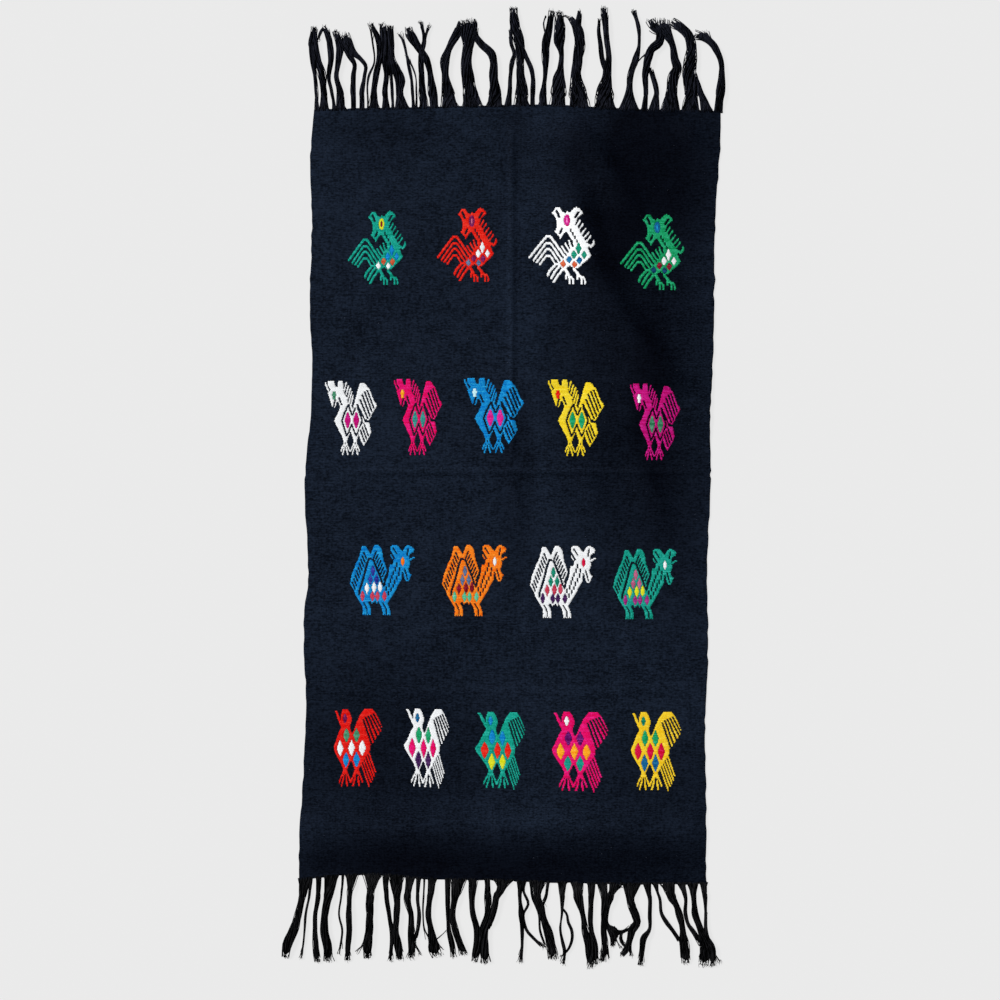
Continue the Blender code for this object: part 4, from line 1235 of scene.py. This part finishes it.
def lock_yarns(stops, rows, root_line, outwards):
    """The yarns of one lock: spread over its root's fan, then wound loosely round each other.

    Across the lock a yarn lies at w/2 sin(phase + twist s), and it's lifted by the cosine.
    """
    stops = np.array(stops, float)
    length = np.concatenate(([0], np.cumsum(np.hypot(*np.diff(stops[:, :2], axis=0).T)))) * MM
    out, place, width = stops.T * MM
    width = width * FULLNESS
    rooted = out[0] < ROOTED_WITHIN
    mean = width[1:].mean() / MM
    root = max(width[0] / MM, ROOT_AT_LEAST * mean)
    full = ROOTED_YARNS * root + 1 if rooted else LOOSE_YARNS * mean
    count = int(np.clip(round(full), *YARN_COUNTS))
    steps = max(int(length[-1] / RING_STEP), FEWEST_RINGS)
    knots = max(steps // RINGS_TO_KNOT, FEWEST_KNOTS)

    def line_at(s):
        """The lock's middle line, out and sideways, and its width at the distances s."""
        wide = np.maximum(smooth_through(length, width, s), YARN_RADIUS * 2)
        return smooth_through(length, out, s), smooth_through(length, place, s), wide

    reach = length[-1] * (1 - TIP_SHORTER * RANDOM.random(count) ** 2 + TIP_LONGER)
    s = np.linspace(0, 1, steps) * reach[:, None]
    along, middle, wide = line_at(s)
    bound = soft_step(s / BOUND_AFTER) if rooted else np.ones_like(s)
    fan = np.linspace(-0.5, 0.5, count)[:, None] * (wide - YARN_RADIUS)
    order = RANDOM.permutation(count)[:, None]
    phase = (order + PHASE_VARIES * RANDOM.random((count, 1))) * 2 * np.pi / count
    ring = np.where(order % 3 == 0, INNER_RING, 1.0)
    twist = 2 * np.pi / (TURN[0] + TURN[1] * RANDOM.random()) * RANDOM.choice((-1, 1))
    angle = phase + twist * s
    wound = 0.5 * ring * (wide - YARN_RADIUS * WOUND_INSET) * np.sin(angle)
    loose = wander(count, steps, WANDER_ASIDE, knots)
    tip = soft_step((s - reach[:, None] + TIP) / TIP)
    spread = RANDOM.normal(0, TIP_SPREAD, (count, 1)) * tip
    offset = (1 - bound) * fan + bound * wound + (loose + spread) * soft_step(s / LOOSE_AFTER)
    slope = np.gradient(middle, axis=1), np.gradient(along, axis=1)
    norm = np.hypot(*slope)
    x = middle + offset * slope[1] / norm
    y = root_line + outwards * (along - offset * slope[0] / norm)
    if rooted:
        y = from_cloth(x, y, s, rows, outwards)
    tall = np.clip(wide * LOCK_TALL, *LOCK_HEIGHTS)
    z = YARN_RADIUS + bound * tall * (1 + ring * np.cos(angle)) * (1 - TIP_FLATTER * tip)
    z = z + (1 - bound) * ROOT_LIFT
    z = np.clip(z + wander(count, steps, WANDER_UP, knots), YARN_RADIUS, None)
    varied = YARN_VARIES[0] + YARN_VARIES[1] * RANDOM.random((count, 1))
    yarns = tubes(np.stack((x, y, z), -1), YARN_RADIUS * (1 - TIP_THINNER * tip) * varied)
    if count < CORELESS_BELOW:
        return yarns
    # The core follows the lock's own middle and stops short of the loose tips
    s = np.linspace(0, length[-1] * CORE_LENGTH, max(steps, FEWEST_CORE_RINGS))
    along, x, wide = line_at(s)
    y = root_line + outwards * along
    shut = soft_step((s[-1] - s) / CORE_SHUT) * (1 - CORE_TIP) + CORE_TIP
    knots = max(len(s) // CORE_RINGS_TO_KNOT, FEWEST_KNOTS)
    sway = 1 + wander(1, len(s), CORE_SWAY, knots)[0]
    half_wide = 0.5 * wide * CORE_WIDE * shut * sway
    half_tall = np.clip(wide * CORE_TALL, *CORE_HEIGHTS)
    half_tall = half_tall * (CORE_TIP_TALL + (1 - CORE_TIP_TALL) * shut)
    if rooted:
        y = from_cloth(x, y, s, rows, outwards)
        half_tall = CORE_ROOT_TALL + (half_tall - CORE_ROOT_TALL) * soft_step(s / CORE_RISE)
    return join((yarns, solid_core(x, y, half_wide, half_tall)))


def hairs(stops, root_line, outwards):
    """A few fine fibres that start inside a lock and stand off it: each is bent by a sine."""
    stops = np.array(stops, float)
    count = int(np.clip(round(stops[:, 2].mean() * HAIRS), *HAIR_COUNTS))
    start = RANDOM.integers(0, len(stops) - 1, count)
    start[count // TIP_HAIRS:] = len(stops) - 1
    t = np.linspace(0, 1, HAIR_RINGS)
    root_out, root_place, width = stops[start].T
    scatter = np.clip(RANDOM.normal(0, HAIR_SCATTER, (count, 2)), -HAIR_INSIDE, HAIR_INSIDE).T
    root_out = (root_out + scatter[0] * HAIR_BACK - HAIR_BACK)[:, None]
    root_place = (root_place + scatter[1] * width)[:, None]
    heading = RANDOM.normal(np.pi / 2, HAIR_TURN, (count, 1))
    long = RANDOM.uniform(*HAIR_LENGTHS, (count, 1))
    bend = RANDOM.normal(0, HAIR_BEND, (count, 1)) * np.sin(np.pi * t)
    place = root_place + long * t * np.cos(heading) + bend * np.sin(heading)
    out = root_out + long * t * np.sin(heading) - bend * np.cos(heading)
    x, y = place * MM, root_line + outwards * np.maximum(out, HAIR_CLEAR) * MM
    lowest, rise = HAIR_HEIGHTS
    z = (lowest + rise * RANDOM.random((count, 1)) * np.sin(np.pi * t)) * MM
    radii = np.full(x.shape, HAIR_RADIUS) * (1 - 0.5 * t)
    return tubes(np.stack((x, y, z), -1), radii)


def fringe(name, locks, rows, root_line, outwards, material):
    """All the yarns and loose fibres at one end, joined in one mesh."""
    parts = []
    for stops in locks:
        parts.append(lock_yarns(stops, rows, root_line, outwards))
        parts.append(hairs(stops, root_line, outwards))
    return add_piece(name, *join(parts), material)


def floor():
    """A level floor just under the runner."""
    corners = np.array(((-1, -1, 0), (1, -1, 0), (1, 1, 0), (-1, 1, 0)), float) * FLOOR_REACH
    corners[:, 2] = FLOOR_LEVEL
    add_piece("floor", corners, np.array([[0, 1, 2, 3]]), floor_paint())


def key_light():
    """A far soft light from the upper left."""
    data = bpy.data.lights.new("key", "SUN")
    data.energy = KEY_STRENGTH
    data.angle = KEY_SOFTNESS
    lamp = bpy.data.objects.new("key", data)
    lamp.rotation_mode = "QUATERNION"
    lamp.rotation_quaternion = Vector(KEY_FROM).to_track_quat("Z", "Y")
    bpy.context.scene.collection.objects.link(lamp)


def sky_light():
    """Even light from all around."""
    world = bpy.data.worlds.new("studio")
    world.use_nodes = True
    background = world.node_tree.nodes["Background"]
    background.inputs["Color"].default_value = (1.0, 1.0, 1.0, 1.0)
    background.inputs["Strength"].default_value = SKY_LEVEL
    bpy.context.scene.world = world


def camera():
    """Straight above the runner, with its top end upwards in the picture."""
    data = bpy.data.cameras.new("camera")
    data.sensor_width = SENSOR
    data.lens = SENSOR * CAMERA_HEIGHT / PICTURE_WIDTH
    view = bpy.data.objects.new("camera", data)
    view.location = (*CAMERA_CENTRE, CAMERA_HEIGHT)
    bpy.context.scene.collection.objects.link(view)
    bpy.context.scene.camera = view


def main():
    cloth = woven_cloth()
    yarn = brocade_paint()
    animals = (
        brocade("brocade_birds", [crested_bird()] * len(BIRDS), BIRDS, yarn),
        brocade("brocade_beasts", [winged_beast()] * len(BEASTS), BEASTS, yarn),
        brocade("brocade_camels", [camel()] * len(CAMELS), CAMELS, yarn),
        brocade("brocade_peacocks", [peacock(tall) for tall in DIAMOND_HEIGHTS], PEACOCKS, yarn),
    )
    warp = fringe_paint()
    top = fringe("top_fringe_yarns", TOP_LOCKS, TOP_END, TOP_ROOT_LINE, 1, warp)
    bottom = fringe("bottom_fringe_yarns", BOTTOM_LOCKS, BOTTOM_END, BOTTOM_ROOT_LINE, -1, warp)
    for piece in (cloth, *animals, top, bottom):
        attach(piece, "root")
    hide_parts("woven_cloth")
    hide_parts("fringe_top")
    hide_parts("fringe_bottom")
    floor()
    key_light()
    sky_light()
    camera()
    bpy.context.scene.view_settings.view_transform = "Standard"


main()
